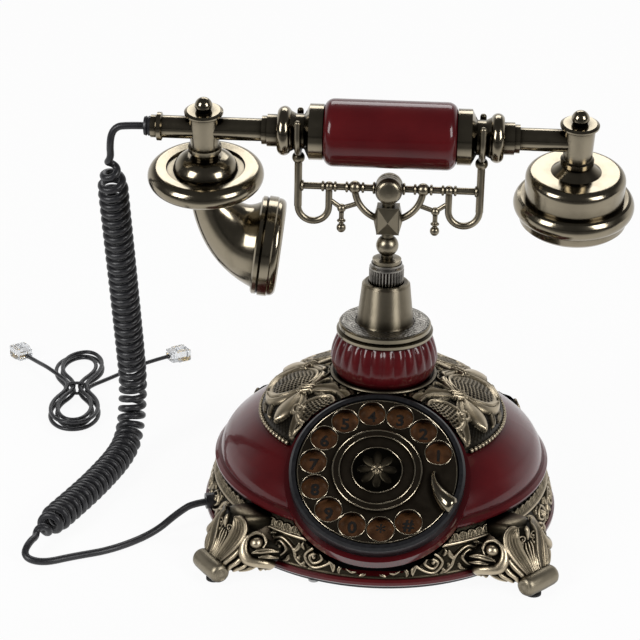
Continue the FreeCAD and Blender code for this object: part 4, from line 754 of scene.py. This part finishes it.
# Frieze on the skirt: scrolls below, a moulding, and a row of tongues
TILES, TONGUES = 14, 112
TILE = 2 * np.pi * SKIRT_MID / TILES
SCROLL_UP = [(-4, 1.2), (-0.6, 3.6), (2.6, 8.6), (9.5, 11.4), (14.2, 6.8), (9.6, 2.2), (5.5, 6.4)]
SCROLL_UP += [(9.2, 9.4), (11.9, 6.8), (9.6, 4.9)]
SCROLL_DOWN = [(14.8, 11.8), (18.2, 9.4), (21.6, 4.4), (28.5, 1.6), (33.2, 6.2), (28.6, 10.8), (24.5, 6.6)]
SCROLL_DOWN += [(28.2, 3.6), (30.9, 6.2), (28.6, 8.1)]
FRIEZE = [
    (SCROLL_UP, 0.95, 1.8, "plain"),
    (SCROLL_DOWN, 0.95, 1.8, "plain"),
    ([(9.5, 6.5), (9.7, 6.7)], 1.15, 2.0, "plain"),
    ([(28.5, 6.3), (28.7, 6.5)], 1.15, 2.0, "plain"),
    ([(1.4, 6.2), (-0.6, 9.0), (-1.4, 12.2)], 1.5, 1.7, "leaf"),
    ([(20.6, 6.6), (18.9, 3.6), (18.4, 0.6)], 1.5, 1.7, "leaf"),
    ([(3.4, 4.4), (4.0, 1.9), (6.6, 0.5)], 1.2, 1.6, "leaf"),
    ([(22.6, 8.6), (23.0, 11.0), (25.6, 12.4)], 1.2, 1.6, "leaf"),
    ([(14.6, 4.4), (16.0, 2.6), (15.6, 0.4)], 1.1, 1.5, "leaf"),
    ([(33.6, 8.8), (35.2, 10.4), (35.0, 12.6)], 1.1, 1.5, "leaf"),
    ([(13.6, 9.6), (14.4, 11.4), (12.2, 12.6)], 1.0, 1.5, "leaf"),
    ([(32.8, 3.4), (33.6, 1.6), (31.4, 0.4)], 1.0, 1.5, "leaf"),
    ([(16.6, 7.0), (17.2, 8.6), (16.0, 10.2)], 0.9, 1.4, "leaf"),
    ([(35.6, 5.6), (36.4, 4.0), (35.6, 2.4)], 0.9, 1.4, "leaf"),
]


def frieze_field(turn, far, radius):
    """Height and tone of the frieze, mirrored left and right of the dial; the tone is painted shade,
    lighter with height as painted highlight.
    """
    away = np.abs((turn + np.pi / 2 + np.pi) % (2 * np.pi) - np.pi) * SKIRT_MID
    x, y = np.broadcast_arrays(away % TILE, far)
    tile = np.maximum.reduce([strokes_height(x + shift, y - 0.6, FRIEZE) for shift in (-TILE, 0, TILE)])
    scale = np.where((y > 0.5) & (y < 13.4), 1.0, 0.0)
    ground = 0.16 + 0.12 * rough(x, y, 0.6)
    high = np.maximum(tile, ground) * scale
    moulding = 1.9 * arch((y - 14.6) / 1.15)
    fillet = 0.5 * arch((y - 0.4) / 0.7)
    pitch = 2 * np.pi * SKIRT_MID / TONGUES
    g = ((away / pitch) % 1 - 0.5) * 2
    top = 19.6
    lean = np.sqrt((g * 0.92) ** 2 + np.clip((y - top + 1.6) / 1.6, 0, 2) ** 2)
    tongue = 2.0 * arch(lean) - 1.3 * arch(lean / 0.66)
    tongue += 0.5 * np.exp(-((g / 0.2) ** 2)) * (lean < 0.9)
    tongue = np.where(y > 15.9, np.maximum(tongue, 0.05), 0)
    rise = np.maximum.reduce([high, moulding, fillet, tongue])
    # The tone is painted shade low down and painted highlight as the relief rises
    return rise, 0.12 + 0.88 * np.clip(rise / 1.6, 0, 1) ** 0.75


SKIRT = [(87.2, 10.0), (86.6, 13.0), (84.9, 19.0), (82.6, 26.0), (80.2, 31.0)]
skirt_line, _ = even(through(SKIRT, 120), 68)


def skirt_gap(points):
    """Which points the dial housing, the line jack and the cord's hole take away."""
    x, y, z = points.T
    jack = (np.abs(x) < 7.2) & (y > 0) & (z > 13.2) & (z < 24.8)
    side = np.cross(points - CORD_WAY * SKIRT_MID - (0, 0, CORD_HEIGHT), CORD_WAY)
    hole = (np.linalg.norm(side, axis=1) < 3.7) & (points @ CORD_WAY > 0)
    return in_housing(points) | jack | hole


for k in range(4):
    degrees = np.linspace(90 * k, 90 * k + 90, 385)
    carved_skin(f"frieze_relief_{k}", skirt_line, degrees, frieze_field, skirt_gap)
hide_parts("frieze_skirt")

# Neck: lobed red collar, stippled flange top, ribbed plunger
NECK_ROWS = 40
NECK = [(23.2, 79.0), (24.9, 81.5), (26.1, 85.0), (26.4, 88.0), (25.7, 92.5), (24.2, 97.0), (22.6, 100.0)]


def lobes(turn, row):
    """Swelling of the neck's 26 lobes, which fade out at its foot."""
    share = row / (NECK_ROWS - 1)
    deep = np.clip((share - 0.12) / 0.5, 0, 1) ** 0.8 * np.clip((1.02 - share) / 0.12, 0, 1) ** 0.5
    return deep * (np.abs(np.cos(13 * turn)) - 0.75)


red_collar = lathe("lobed_collar", through(NECK, NECK_ROWS), red, "base", 416, swell=lobes, sharp=60)
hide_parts("fluted_collar")
bow = np.linspace(0, 2 * np.pi, 17)
ring_line = np.stack([25.6 + 1.1 * np.cos(bow), 78.8 + 0.8 * np.sin(bow)], 1)
lathe("collar_ring", ring_line, satin, "base", 128, sharp=180)
FLANGE_INNER, FLANGE_OUTER, FLANGE_TOP = 14.7, 22.0, 106.02
turn = np.linspace(0, 2 * np.pi, 241)[None, :]
radius = np.linspace(FLANGE_INNER, FLANGE_OUTER, 26)[:, None]
x, y = radius * np.cos(turn), radius * np.sin(turn)
grain = rough(x, y, 0.95) + rough(y, x, 0.6, 2.0)
edge = np.clip((FLANGE_OUTER - radius) / 0.6, 0, 1) * np.ones_like(turn)
z = FLANGE_TOP + (0.36 + 0.3 * grain) * edge
# Painted highlight on the stipple's high points and painted shade in its pits
grain_tone = 0.2 + 0.5 * np.clip(grain + 0.6, 0, 1.5)
build("flange_stipple", np.stack([x, y, z], -1), grid(*x.shape), speckled, "base", grain_tone, 180)
NODES["column_cone"].data.materials[0] = brushed
for name in ("cradle_column", "cradle_frame", "fork_left", "fork_right"):
    NODES[name].data.materials[0] = cradle_metal


PLUNGER = [(0.01, 48), (5, 48), (5, 116), (8.2, 116)]
PLUNGER += [(8.6, 116.4), (8.6, 125), (8.6, 132), (8.6, 134.4)]
PLUNGER += [(8.5, 134.9), (8.5, 135.6), (7.6, 136.6), (7.6, 137.6), (0.01, 137.6)]


def ribs(turn, row):
    """The plunger's 32 ribs, on the rows of its second line above."""
    deep = np.where((row > 3) & (row < 8), 0.8, 0.0)
    return deep * (np.cos(32 * turn) * 0.5 - 0.5)


plunger = lathe("ribbed_plunger", PLUNGER, ribbed_metal, "cradle", 256, swell=ribs)
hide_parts("hook_plunger")


# Dial: hole rims, face rings, numerals and a plain rosette
def dial_ring(name, radius, wide, height, count, centre=(0, 0), ring=8):
    """A thin bright rod lying in a circle on the dial."""
    turn = round_turn(count)[:, None]
    spin = round_turn(ring)[None, :]
    r = radius + wide * np.cos(spin)
    x = centre[0] + r * np.cos(turn)
    y = centre[1] + r * np.sin(turn)
    z = np.broadcast_to(height + wide * np.sin(spin), x.shape)
    faces = grid(count, ring, True)
    last = (count - 1) * ring
    faces += [[last + k, last + (k + 1) % ring, (k + 1) % ring, k] for k in range(ring)]
    return build(name, np.stack([x, y, z], -1), faces, rim_metal, "dial", None, 180, DIAL)


def hole_place(i):
    """Middle of a finger hole, seen on the dial at rest."""
    turn = math.radians(FIRST_HOLE + HOLE_STEP * i)
    return HOLE_CIRCLE * math.cos(turn), HOLE_CIRCLE * math.sin(turn)


hole_rims = []
for i in range(len(DIAL_MARKS)):
    hole_rims.append(dial_ring(f"hole_rim_{i}", 6.6, 0.24, 0.05, 56, hole_place(i)))
joined(hole_rims, "hole_rims")
dial_ring("wheel_edge", 38.2, 0.34, -0.12, 160)
dial_ring("face_ring_outer", 21.3, 0.4, 0.9, 128)
dial_ring("face_ring_inner", 18.2, 0.34, 0.95, 128)
dial_ring("face_ring_small", 12.1, 0.3, 0.8, 128)
turn = np.linspace(0, 2 * np.pi, 193)[None, :]
radius = np.linspace(0.02, 11.6, 44)[:, None]
x, y = radius * np.cos(turn), radius * np.sin(turn)
petal = np.abs(np.cos(4 * turn))
reach = 4.2 + 5.6 * petal**0.8
relief = 0.75 * arch(radius / reach) * (0.55 + 0.45 * petal) + 0.5 * arch(radius / 2.6)
relief = np.maximum(relief, 0.06 + 0.05 * rough(x, y, 0.5))
rosette = np.stack([x, y, 1.34 - 0.036 * radius + relief * 0.8], -1)
# Painted shade on the rosette's ground and painted highlight on its raised petals
rosette_tone = 0.06 + 0.6 * np.clip(relief / 1.1, 0, 1)
build("rosette", rosette, grid(*x.shape), carved, "dial", rosette_tone, 180, DIAL)

# Finger stop as distance, angle, height and half width, kept clear of the turning wheel
STOP_CLEAR = 0.5
stop_path = []
for radius, degrees, height, wide in (
    (27.2, 0.0, 1.2, 0.7),
    (27.0, -5.0, 1.6, 1.0),
    (28.4, -13.0, 1.8, 1.8),
    (32.0, -20.5, 1.9, 3.0),
    (36.6, -24.8, 1.8, 4.1),
    (39.6, -26.2, 1.5, 4.4),
    (41.2, -26.6, 1.3, 3.4),
):
    turn = math.radians(degrees)
    place = Vector((radius * math.cos(turn), radius * math.sin(turn), height)) * MM
    stop_path.append([v / MM for v in DIAL @ place] + [wide])
stop_path = through(stop_path, 48)
stop = tube("finger_stop_look", stop_path[:, :3], stop_path[:, 3], bronze, "base", 24)
for vert in stop.data.vertices:
    spot = DIAL.inverted() @ vert.co
    vert.co = DIAL @ Vector((spot.x, spot.y, max(spot.z, STOP_CLEAR * MM)))
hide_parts("finger_stop")

# Numerals on the plate under the holes; the 9 is a turned 6, and thin marks are thickened less
numerals = []
for i, mark in enumerate(DIAL_MARKS):
    letter = bpy.data.curves.new(f"numeral_{i}", "FONT")
    letter.body = "6" if mark == "9" else mark
    letter.size = 0.0082 if mark != "*" else 0.0105
    letter.align_x = "CENTER"
    letter.align_y = "CENTER"
    letter.extrude = 0.00012
    letter.offset = 0.00008 if mark in "4*" else 0.00026
    mesh = meshed(f"numeral_{i}", letter)
    if mark == "9":
        mesh.transform(Matrix.Rotation(math.pi, 4, "Z"))
    x, y = hole_place(i)
    mesh.transform(DIAL @ Matrix.Translation((x * MM, y * MM + 0.0004, -0.0045)))
    mesh.materials.clear()
    mesh.materials.append(ink)
    thing = added(f"numeral_{i}", mesh)
    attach(thing, "base")
    numerals.append(thing)
joined(numerals, "numerals")

# Feet: a rounded swelling wrapped with ribbons, flutes and volutes, over a scroll roll
FEET = {"foot_front_right": -43.5, "foot_front_left": -135.5, "foot_rear_right": 48, "foot_rear_left": 132}
FOOT_LOW = 6.6
FOOT_ROUND = 28.5
FOOT_ROWS, FOOT_COLUMNS = 190, 331
CORE_STEPS = 200
# Ridges as kind, then way round, way up, half width and lift; each also mirrored
RIBBON = [(5.6, 37.6, 1.0, 1.0), (7.8, 36.2, 3.0, 1.9), (9.0, 33.2, 4.0, 2.4), (8.7, 29.4, 4.3, 2.5)]
RIBBON += [(7.4, 25.0, 4.0, 2.4), (5.7, 20.4, 3.3, 2.3), (4.3, 16.0, 2.6, 2.1), (3.6, 11.6, 2.0, 1.7)]
VOLUTE = [(20.6, 24.0, 0.7, 1.6), (21.6, 26.6, 0.9, 1.7), (20.2, 29.6, 1.1, 1.9), (16.9, 30.8, 1.3, 2.1)]
VOLUTE += [(13.8, 29.0, 1.5, 2.3), (12.4, 25.2, 1.9, 2.4), (12.9, 21.0, 2.4, 2.5), (15.4, 17.9, 2.7, 2.6)]
VOLUTE += [(19.2, 16.8, 2.7, 2.6), (22.8, 15.8, 2.4, 2.7), (26.0, 13.6, 2.0, 2.7), (26.2, 10.6, 1.6, 2.7)]
VOLUTE += [(23.8, 9.4, 1.2, 2.4), (22.4, 11.0, 0.9, 2.2), (23.1, 12.3, 0.8, 2.1)]
LEAF_LONG = [(16.4, 21.4, 0.6, 1.4), (19.4, 22.4, 1.7, 1.9), (23.0, 22.4, 1.5, 1.9), (27.2, 21.0, 0.4, 1.4)]
LEAF_SHORT = [(19.4, 19.8, 0.5, 1.2), (22.6, 19.8, 1.3, 1.6), (27.4, 18.2, 0.4, 1.3)]
CREASES = (
    [(11.2, 22.6, 0.8, 1.3), (9.4, 18.2, 1.4, 1.8), (7.6, 14.0, 1.4, 1.8), (6.8, 9.6, 1.2, 1.5)],
    [(12.6, 18.4, 0.9, 1.3), (11.7, 15.2, 1.5, 1.8), (10.2, 11.8, 1.4, 1.8), (9.4, 8.4, 1.1, 1.5)],
    [(15.6, 15.4, 0.9, 1.3), (14.6, 13.0, 1.5, 1.9), (12.9, 10.4, 1.4, 1.8), (11.8, 8.2, 1.0, 1.5)],
    [(19.4, 14.0, 0.9, 1.3), (17.8, 12.1, 1.4, 1.9), (16.0, 10.2, 1.2, 1.7), (14.4, 8.6, 0.8, 1.3)],
)
RIDGES = [
    ("ribbon", RIBBON),
    ("round", [(0, 37.4, 0.6, 0.8), (0, 35.4, 1.6, 1.5), (0, 32.6, 1.2, 1.4), (0, 30.2, 0.5, 0.9)]),
    ("round", VOLUTE),
    ("round", [(17.5, 26.3, 3.0, 3.5), (17.5, 25.9, 3.0, 3.5)]),
    ("round", [(24.4, 11.5, 0.9, 2.6), (24.4, 11.4, 0.9, 2.6)]),
    ("leaf", LEAF_LONG),
    ("leaf", LEAF_SHORT),
    ("round", [(3.6, 31.3, 0.8, 1.3), (3.6, 31.5, 0.8, 1.3)]),
    ("round", [(*spot, 0.6, 1.1) for spot in spiral(3.6, 31.4, 2.4, -100, 1.2, 0.55, 14)]),
]
RIDGES += [("round", crease) for crease in CREASES]
for start in (0.0, 1.6, 3.2):
    flute = [(start, 28.6, 0.35, 0.7), (start * 1.2, 25.0, 0.75, 1.3), (start * 0.8, 20.2, 0.7, 1.3)]
    RIDGES.append(("round", flute + [(start * 0.5, 16.0, 0.6, 1.2), (start * 0.42, 11.4, 0.55, 1.0)]))

# Upright line of the foot as reach, height and half width, from the roll up and over to the skirt
FOOT_LINE = [(108.6, FOOT_LOW, 16), (108.4, 10, 20), (106.6, 13, 23), (104.2, 17, 23.5), (102.4, 21, 21)]
FOOT_LINE += [(101.2, 25, 17), (100.6, 29, 13.6), (99.8, 32, 12.2), (98, 33.8, 11.4), (95.5, 34.2, 10.8)]
FOOT_LINE += [(93, 33, 10.2), (90, 30, 10), (82, 27, 10)]
foot_line, foot_tall = even(through(FOOT_LINE, 400), FOOT_ROWS)
way_round = np.linspace(-FOOT_ROUND, FOOT_ROUND, FOOT_COLUMNS)
share = np.abs(way_round) / FOOT_ROUND * (CORE_STEPS - 1)
lean = np.linspace(0, np.pi / 2, 120)
core = np.zeros((FOOT_ROWS, FOOT_COLUMNS, 3))
for row, (reach, z, half) in enumerate(foot_line):
    skirt = np.interp(z, [6, 10, 19, 31], [86, 86, 83.4, 79])
    curve = np.stack([skirt + (reach - skirt) * np.cos(lean) ** 0.85, half * np.sin(lean)], 1)
    curve, _ = even(curve, CORE_STEPS)
    core[row, :, 0] = np.interp(share, np.arange(CORE_STEPS), curve[:, 0])
    core[row, :, 1] = np.interp(share, np.arange(CORE_STEPS), curve[:, 1]) * np.sign(way_round)
    core[row, :, 2] = z

# The ridges' height and tone over the unrolled core; the tone is painted shade, lighter on the crests as
# painted highlight
fold, high = np.meshgrid(np.abs(way_round), FOOT_LOW + np.linspace(0, foot_tall, FOOT_ROWS))
# Painted shade on the ground between the ridges
foot_tone = np.full(fold.shape, 0.07)
rise = np.zeros(fold.shape)
for kind, ridge in RIDGES:
    line = through(ridge, 14 * len(ridge)) * (1, 1.1, 1, 1) - (0, 0.66, 0, 0)
    near = np.full(rise.shape, 1e9)
    lift = np.zeros(rise.shape)
    for x, z, w, h in line:
        d = ((fold - x) ** 2 + (high - z) ** 2) / w**2
        closer = d < near
        near[closer] = d[closer]
        lift[closer] = h
    q = np.sqrt(near)
    crest = arch(q)
    if kind == "ribbon":
        lined = 0.60 + 0.32 * (q / 0.8) ** 2 + 0.05 * np.cos(2 * np.pi * q * 3.2)
        crest = np.where(q < 0.8, lined, 0.92 * arch((q - 0.8) / 0.2))
    elif kind == "leaf":
        crest = crest * (1 - 0.4 * np.exp(-((q / 0.16) ** 2)))
    # Painted highlight: each ridge gets lighter towards its crest
    shade = 0.2 + 0.8 * np.clip(crest, 0, 1) ** (2.0 if kind == "ribbon" else 1.2)
    foot_tone = np.where(lift * crest > rise, shade, foot_tone)
    rise = np.maximum(rise, lift * crest)
across_way = np.gradient(core, axis=1)
up_way = np.gradient(core, axis=0)
outward = np.cross(across_way, up_way)
outward /= np.maximum(np.linalg.norm(outward, axis=2), 1e-9)[..., None]
foot_points = core + outward * (rise + 0.06 * rough(fold, high, 0.5) - 0.5)[..., None]
foot_faces = np.array(grid(*fold.shape))
# The foot's outline, cut out of the core
hollow = high < FOOT_LOW + 4.2 * np.clip((fold - 12.5) / 5.0, 0, 1)
hollow |= high > np.interp(fold, [0, 10, 12.5, 14.5, 19, 22.5, 28], [42.5, 42.5, 39, 35.2, 34.4, 31, 24.5])
foot_faces = foot_faces[~hollow.ravel()[foot_faces].any(1)].tolist()
# A dark heart fills the leaf from inside as painted shade, and a saddle closes it towards the skirt
heart = (core * (1, 0.8, 0.74) - (3.4, 0, -1.7))[::4, ::4]
SADDLE = ((98.6, 6.4, 30.4), (95.6, 7.6, 32.4), (92.4, 8.4, 32.4), (86.0, 9.2, 31.0), (78.0, 9.8, 29.4))
saddle = []
for reach, half, top in SADDLE:
    outline = [(half, 9), (half, top - 5), (half - 0.3, top - 2.4)]
    outline += [(half - 1.3, top - 0.8), (half - 3.2, top), (0, top + 0.3)]
    saddle.append([(reach, y, z) for y, z in outline + [(-y, z) for y, z in outline[-2::-1]]])
saddle = np.array(saddle)
# Painted shade: the saddle is darker low down and lighter towards its top
saddle_tone = 0.12 + 0.36 * np.clip((saddle[..., 2] - 25) / 7, 0, 1)
roll_line = [(0.01, 10.6), (1.2, 10.7), (1.8, 10.2), (2.5, 10.2), (3.2, 10.6)]
roll_line += [(4.1, 10.2), (4.8, 9.2), (5.1, 7.6)]
roll_line += [(5.3, 0.0)] + [(r, -t) for r, t in roll_line[::-1]]
for name, degrees in FEET.items():
    place = Matrix.Rotation(math.radians(degrees), 4, "Z")
    if name == "foot_front_left":
        pivot = Matrix.Translation((0.1, 0, 0))
        place = place @ pivot @ Matrix.Rotation(-0.14, 4, "Z") @ pivot.inverted()
    leaf = build(name + "_leaf", foot_points, foot_faces, carved, "base", foot_tone, 180, place)
    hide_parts(name)
    # The dark heart is painted shade inside the foot
    build(name + "_heart", heart, grid(*heart.shape[:2]), wheel_metal, "base", None, 60, place)
    build(name + "_saddle", saddle, grid(*saddle.shape[:2]), carved, "base", saddle_tone, 60, place)
    across = place @ Matrix.Translation((0.1094, 0, 0.0064)) @ Matrix.Rotation(math.pi / 2, 4, "X")
    lathe(name + "_roll", roll_line, satin, "base", 64, across, sharp=50)


# Cradle: pyramid block, hub face and small collars
def pyramid(name, centre, half, way, height):
    """A four-sided point raised on a face; way is the face's outward axis."""
    way, centre = np.array(way), np.array(centre)
    up = np.array((0, 0, 1))
    side = np.abs(np.cross(way, up))
    corners = ((-1, -1), (1, -1), (1, 1), (-1, 1))
    verts = [centre + side * half[0] * a + up * half[1] * b for a, b in corners]
    verts.append(centre + way * height)
    faces = [[0, 1, 4], [1, 2, 4], [2, 3, 4], [3, 0, 4]]
    return build(name, verts, faces, cradle_metal, "cradle", None, 5)


BLOCK_MID = 160.3
points = [
    pyramid("block_front", (0, -4.0, BLOCK_MID), (5.0, 6.4), (0, -1, 0), 2.6),
    pyramid("block_back", (0, 4.0, BLOCK_MID), (5.0, 6.4), (0, 1, 0), 2.6),
    pyramid("block_left", (-5.5, 0, BLOCK_MID), (3.5, 6.4), (-1, 0, 0), 1.8),
    pyramid("block_right", (5.5, 0, BLOCK_MID), (3.5, 6.4), (1, 0, 0), 1.8),
]
joined(points, "block_points")
hub = [(6.3, 1.5), (6.6, 2.0), (6.6, 4.4), (6.2, 5.0), (5.9, 5.0)]
hub += [(5.8, 5.8), (5.4, 6.5), (4.2, 7.0), (2.2, 7.3), (0.01, 7.4)]
for name, spin in (("hub_front", math.pi / 2), ("hub_back", -math.pi / 2)):
    place = Matrix.Translation((0, 0, BAR_AXIS)) @ Matrix.Rotation(spin, 4, "X")
    lathe(name, hub, cradle_metal, "cradle", 64, place, sharp=50)


def bar_ring(name, x, radius):
    """A small round collar on the cradle's bar."""
    turn = np.linspace(0, 2 * np.pi, 15)
    line = np.stack([radius + 0.7 * np.cos(turn), 0.7 * np.sin(turn)], 1)
    place = Matrix.Translation((x * MM, 0, BAR_AXIS)) @ Matrix.Rotation(math.pi / 2, 4, "Y")
    return lathe(name, line, cradle_metal, "cradle", 40, place, sharp=180)


collars = []
for hand in (-1, 1):
    for far, radius in ((7.2, 2.3), (12.6, 2.0), (20.4, 2.0), (26.0, 1.9), (32.0, 1.9), (42.0, 2.0)):
        collars.append(bar_ring(f"bar_ring_{hand}_{far}", hand * far, radius))
joined(collars, "bar_rings")
DROP_AWAY = 22.75
drop_line = [(0.01, 152.6), (1.2, 152.8), (2.1, 153.9), (2.3, 155.0), (2.0, 156.2), (1.2, 157.0)]
drop_line += [(1.1, 157.6), (2.0, 158.2), (2.1, 158.8), (1.4, 159.4), (1.2, 160.4), (1.25, 163.0)]
drop_line = through(drop_line, 60)
drops = []
for hand in (-1, 1):
    place = Matrix.Translation((hand * DROP_AWAY * MM, 0, 0))
    drops.append(lathe(f"pendant_{hand}", drop_line, cradle_metal, "cradle", 32, place, sharp=60))
joined(drops, "pendants")

# Camera at the photograph's angle
EYE = (0.02467, -0.95498, 0.5275)
YAW, PITCH, ROLL = (math.radians(v) for v in (3.4168, 23.8214, 0.94))
look = Vector((-math.sin(YAW) * math.cos(PITCH), math.cos(YAW) * math.cos(PITCH), -math.sin(PITCH)))
right = look.cross(Vector((0, 0, 1))).normalized()
above = right.cross(look)
tilted = right * math.cos(ROLL) + above * math.sin(ROLL)
upward = above * math.cos(ROLL) - right * math.sin(ROLL)
lens = bpy.data.cameras.new("camera")
lens.lens = 118.24
lens.sensor_width = 36
lens.clip_start = 0.01
camera = added("camera", lens)
facing = Matrix((tilted, upward, -look)).transposed()
camera.matrix_world = Matrix.Translation(EYE) @ facing.to_4x4()
scene.camera = camera

# Floor, world and lamps
FLOOR = 12
floor_mesh = bpy.data.meshes.new("floor")
corners = [(-FLOOR, -FLOOR, 0), (FLOOR, -FLOOR, 0), (FLOOR, FLOOR, 0), (-FLOOR, FLOOR, 0)]
floor_mesh.from_pydata(corners, [], [(0, 1, 2, 3)])
floor = added("floor", floor_mesh)
floor_material, floor_tree, floor_main = shader("pale_floor", {"Roughness": 0.9})
paper = ramp(floor_tree, noise(floor_tree, 40.0), [(0.2, (0.86, 0.86, 0.86)), (0.8, (0.9, 0.9, 0.9))])
place = node(floor_tree, "SeparateXYZ", {0: node(floor_tree, "NewGeometry").outputs["Position"]}).outputs
# The floor in front is dark to the object, and white only to the camera
sweep = fade(floor_tree, place["Y"], -0.4, -0.06)
ground = node(floor_tree, "MixRGB", {"Fac": sweep, "Color1": (0.1, 0.1, 0.1, 1), "Color2": paper})
floor_tree.links.new(ground.outputs[0], floor_main.inputs["Base Color"])
glow = node(floor_tree, "Emission", {"Color": (1, 1, 1, 1), "Strength": 1.0})
rays = node(floor_tree, "LightPath").outputs
mirrored = combine(floor_tree, "MAXIMUM", rays["Is Glossy Ray"], rays["Is Transmission Ray"])
mirrored = combine(floor_tree, "MULTIPLY", mirrored, sweep)
seen = combine(floor_tree, "MAXIMUM", rays["Is Camera Ray"], mirrored)
part_white = combine(floor_tree, "MULTIPLY", seen, 0.94)
mixed = node(floor_tree, "MixShader", {0: part_white, 1: floor_main.outputs[0], 2: glow.outputs[0]})
floor_tree.links.new(mixed.outputs[0], floor_tree.nodes["Material Output"].inputs["Surface"])
floor_mesh.materials.append(floor_material)
floor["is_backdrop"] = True

scene.view_settings.view_transform = "Standard"
world = bpy.data.worlds.new("studio")
world.use_nodes = True
scene.world = world
sky = world.node_tree
backdrop = sky.nodes["Background"]
direction = node(sky, "TexCoord").outputs["Generated"]
parts = node(sky, "SeparateXYZ", {0: direction}).outputs
# A pale wall low behind the object, in a dark room
wall = combine(sky, "MULTIPLY", fade(sky, parts["Y"], 0.0, 0.5), fade(sky, parts["Z"], 0.7, 0.15))
room = ramp(sky, wall, [(0.0, (0.07, 0.07, 0.07)), (1.0, (0.9, 0.9, 0.9))])
sky.links.new(room, backdrop.inputs["Color"])
backdrop.inputs["Strength"].default_value = 1.0


def softbox(name, place, wide, tall, power):
    """A broad lamp that looks at the middle of the object."""
    lamp = bpy.data.lights.new(name, "AREA")
    lamp.shape = "RECTANGLE"
    lamp.size = wide
    lamp.size_y = tall
    lamp.energy = power
    thing = added(name, lamp)
    thing.location = place
    aim = Vector((0, 0, 0.1)) - Vector(place)
    thing.rotation_euler = aim.to_track_quat("-Z", "Y").to_euler()


softbox("left_box", (-1.1, -0.95, 0.9), 0.6, 0.9, 15)
softbox("right_box", (1.15, -0.95, 0.9), 0.6, 0.9, 15)
softbox("rear_box", (0.0, 1.3, 1.3), 1.2, 0.6, 9)

low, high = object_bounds()
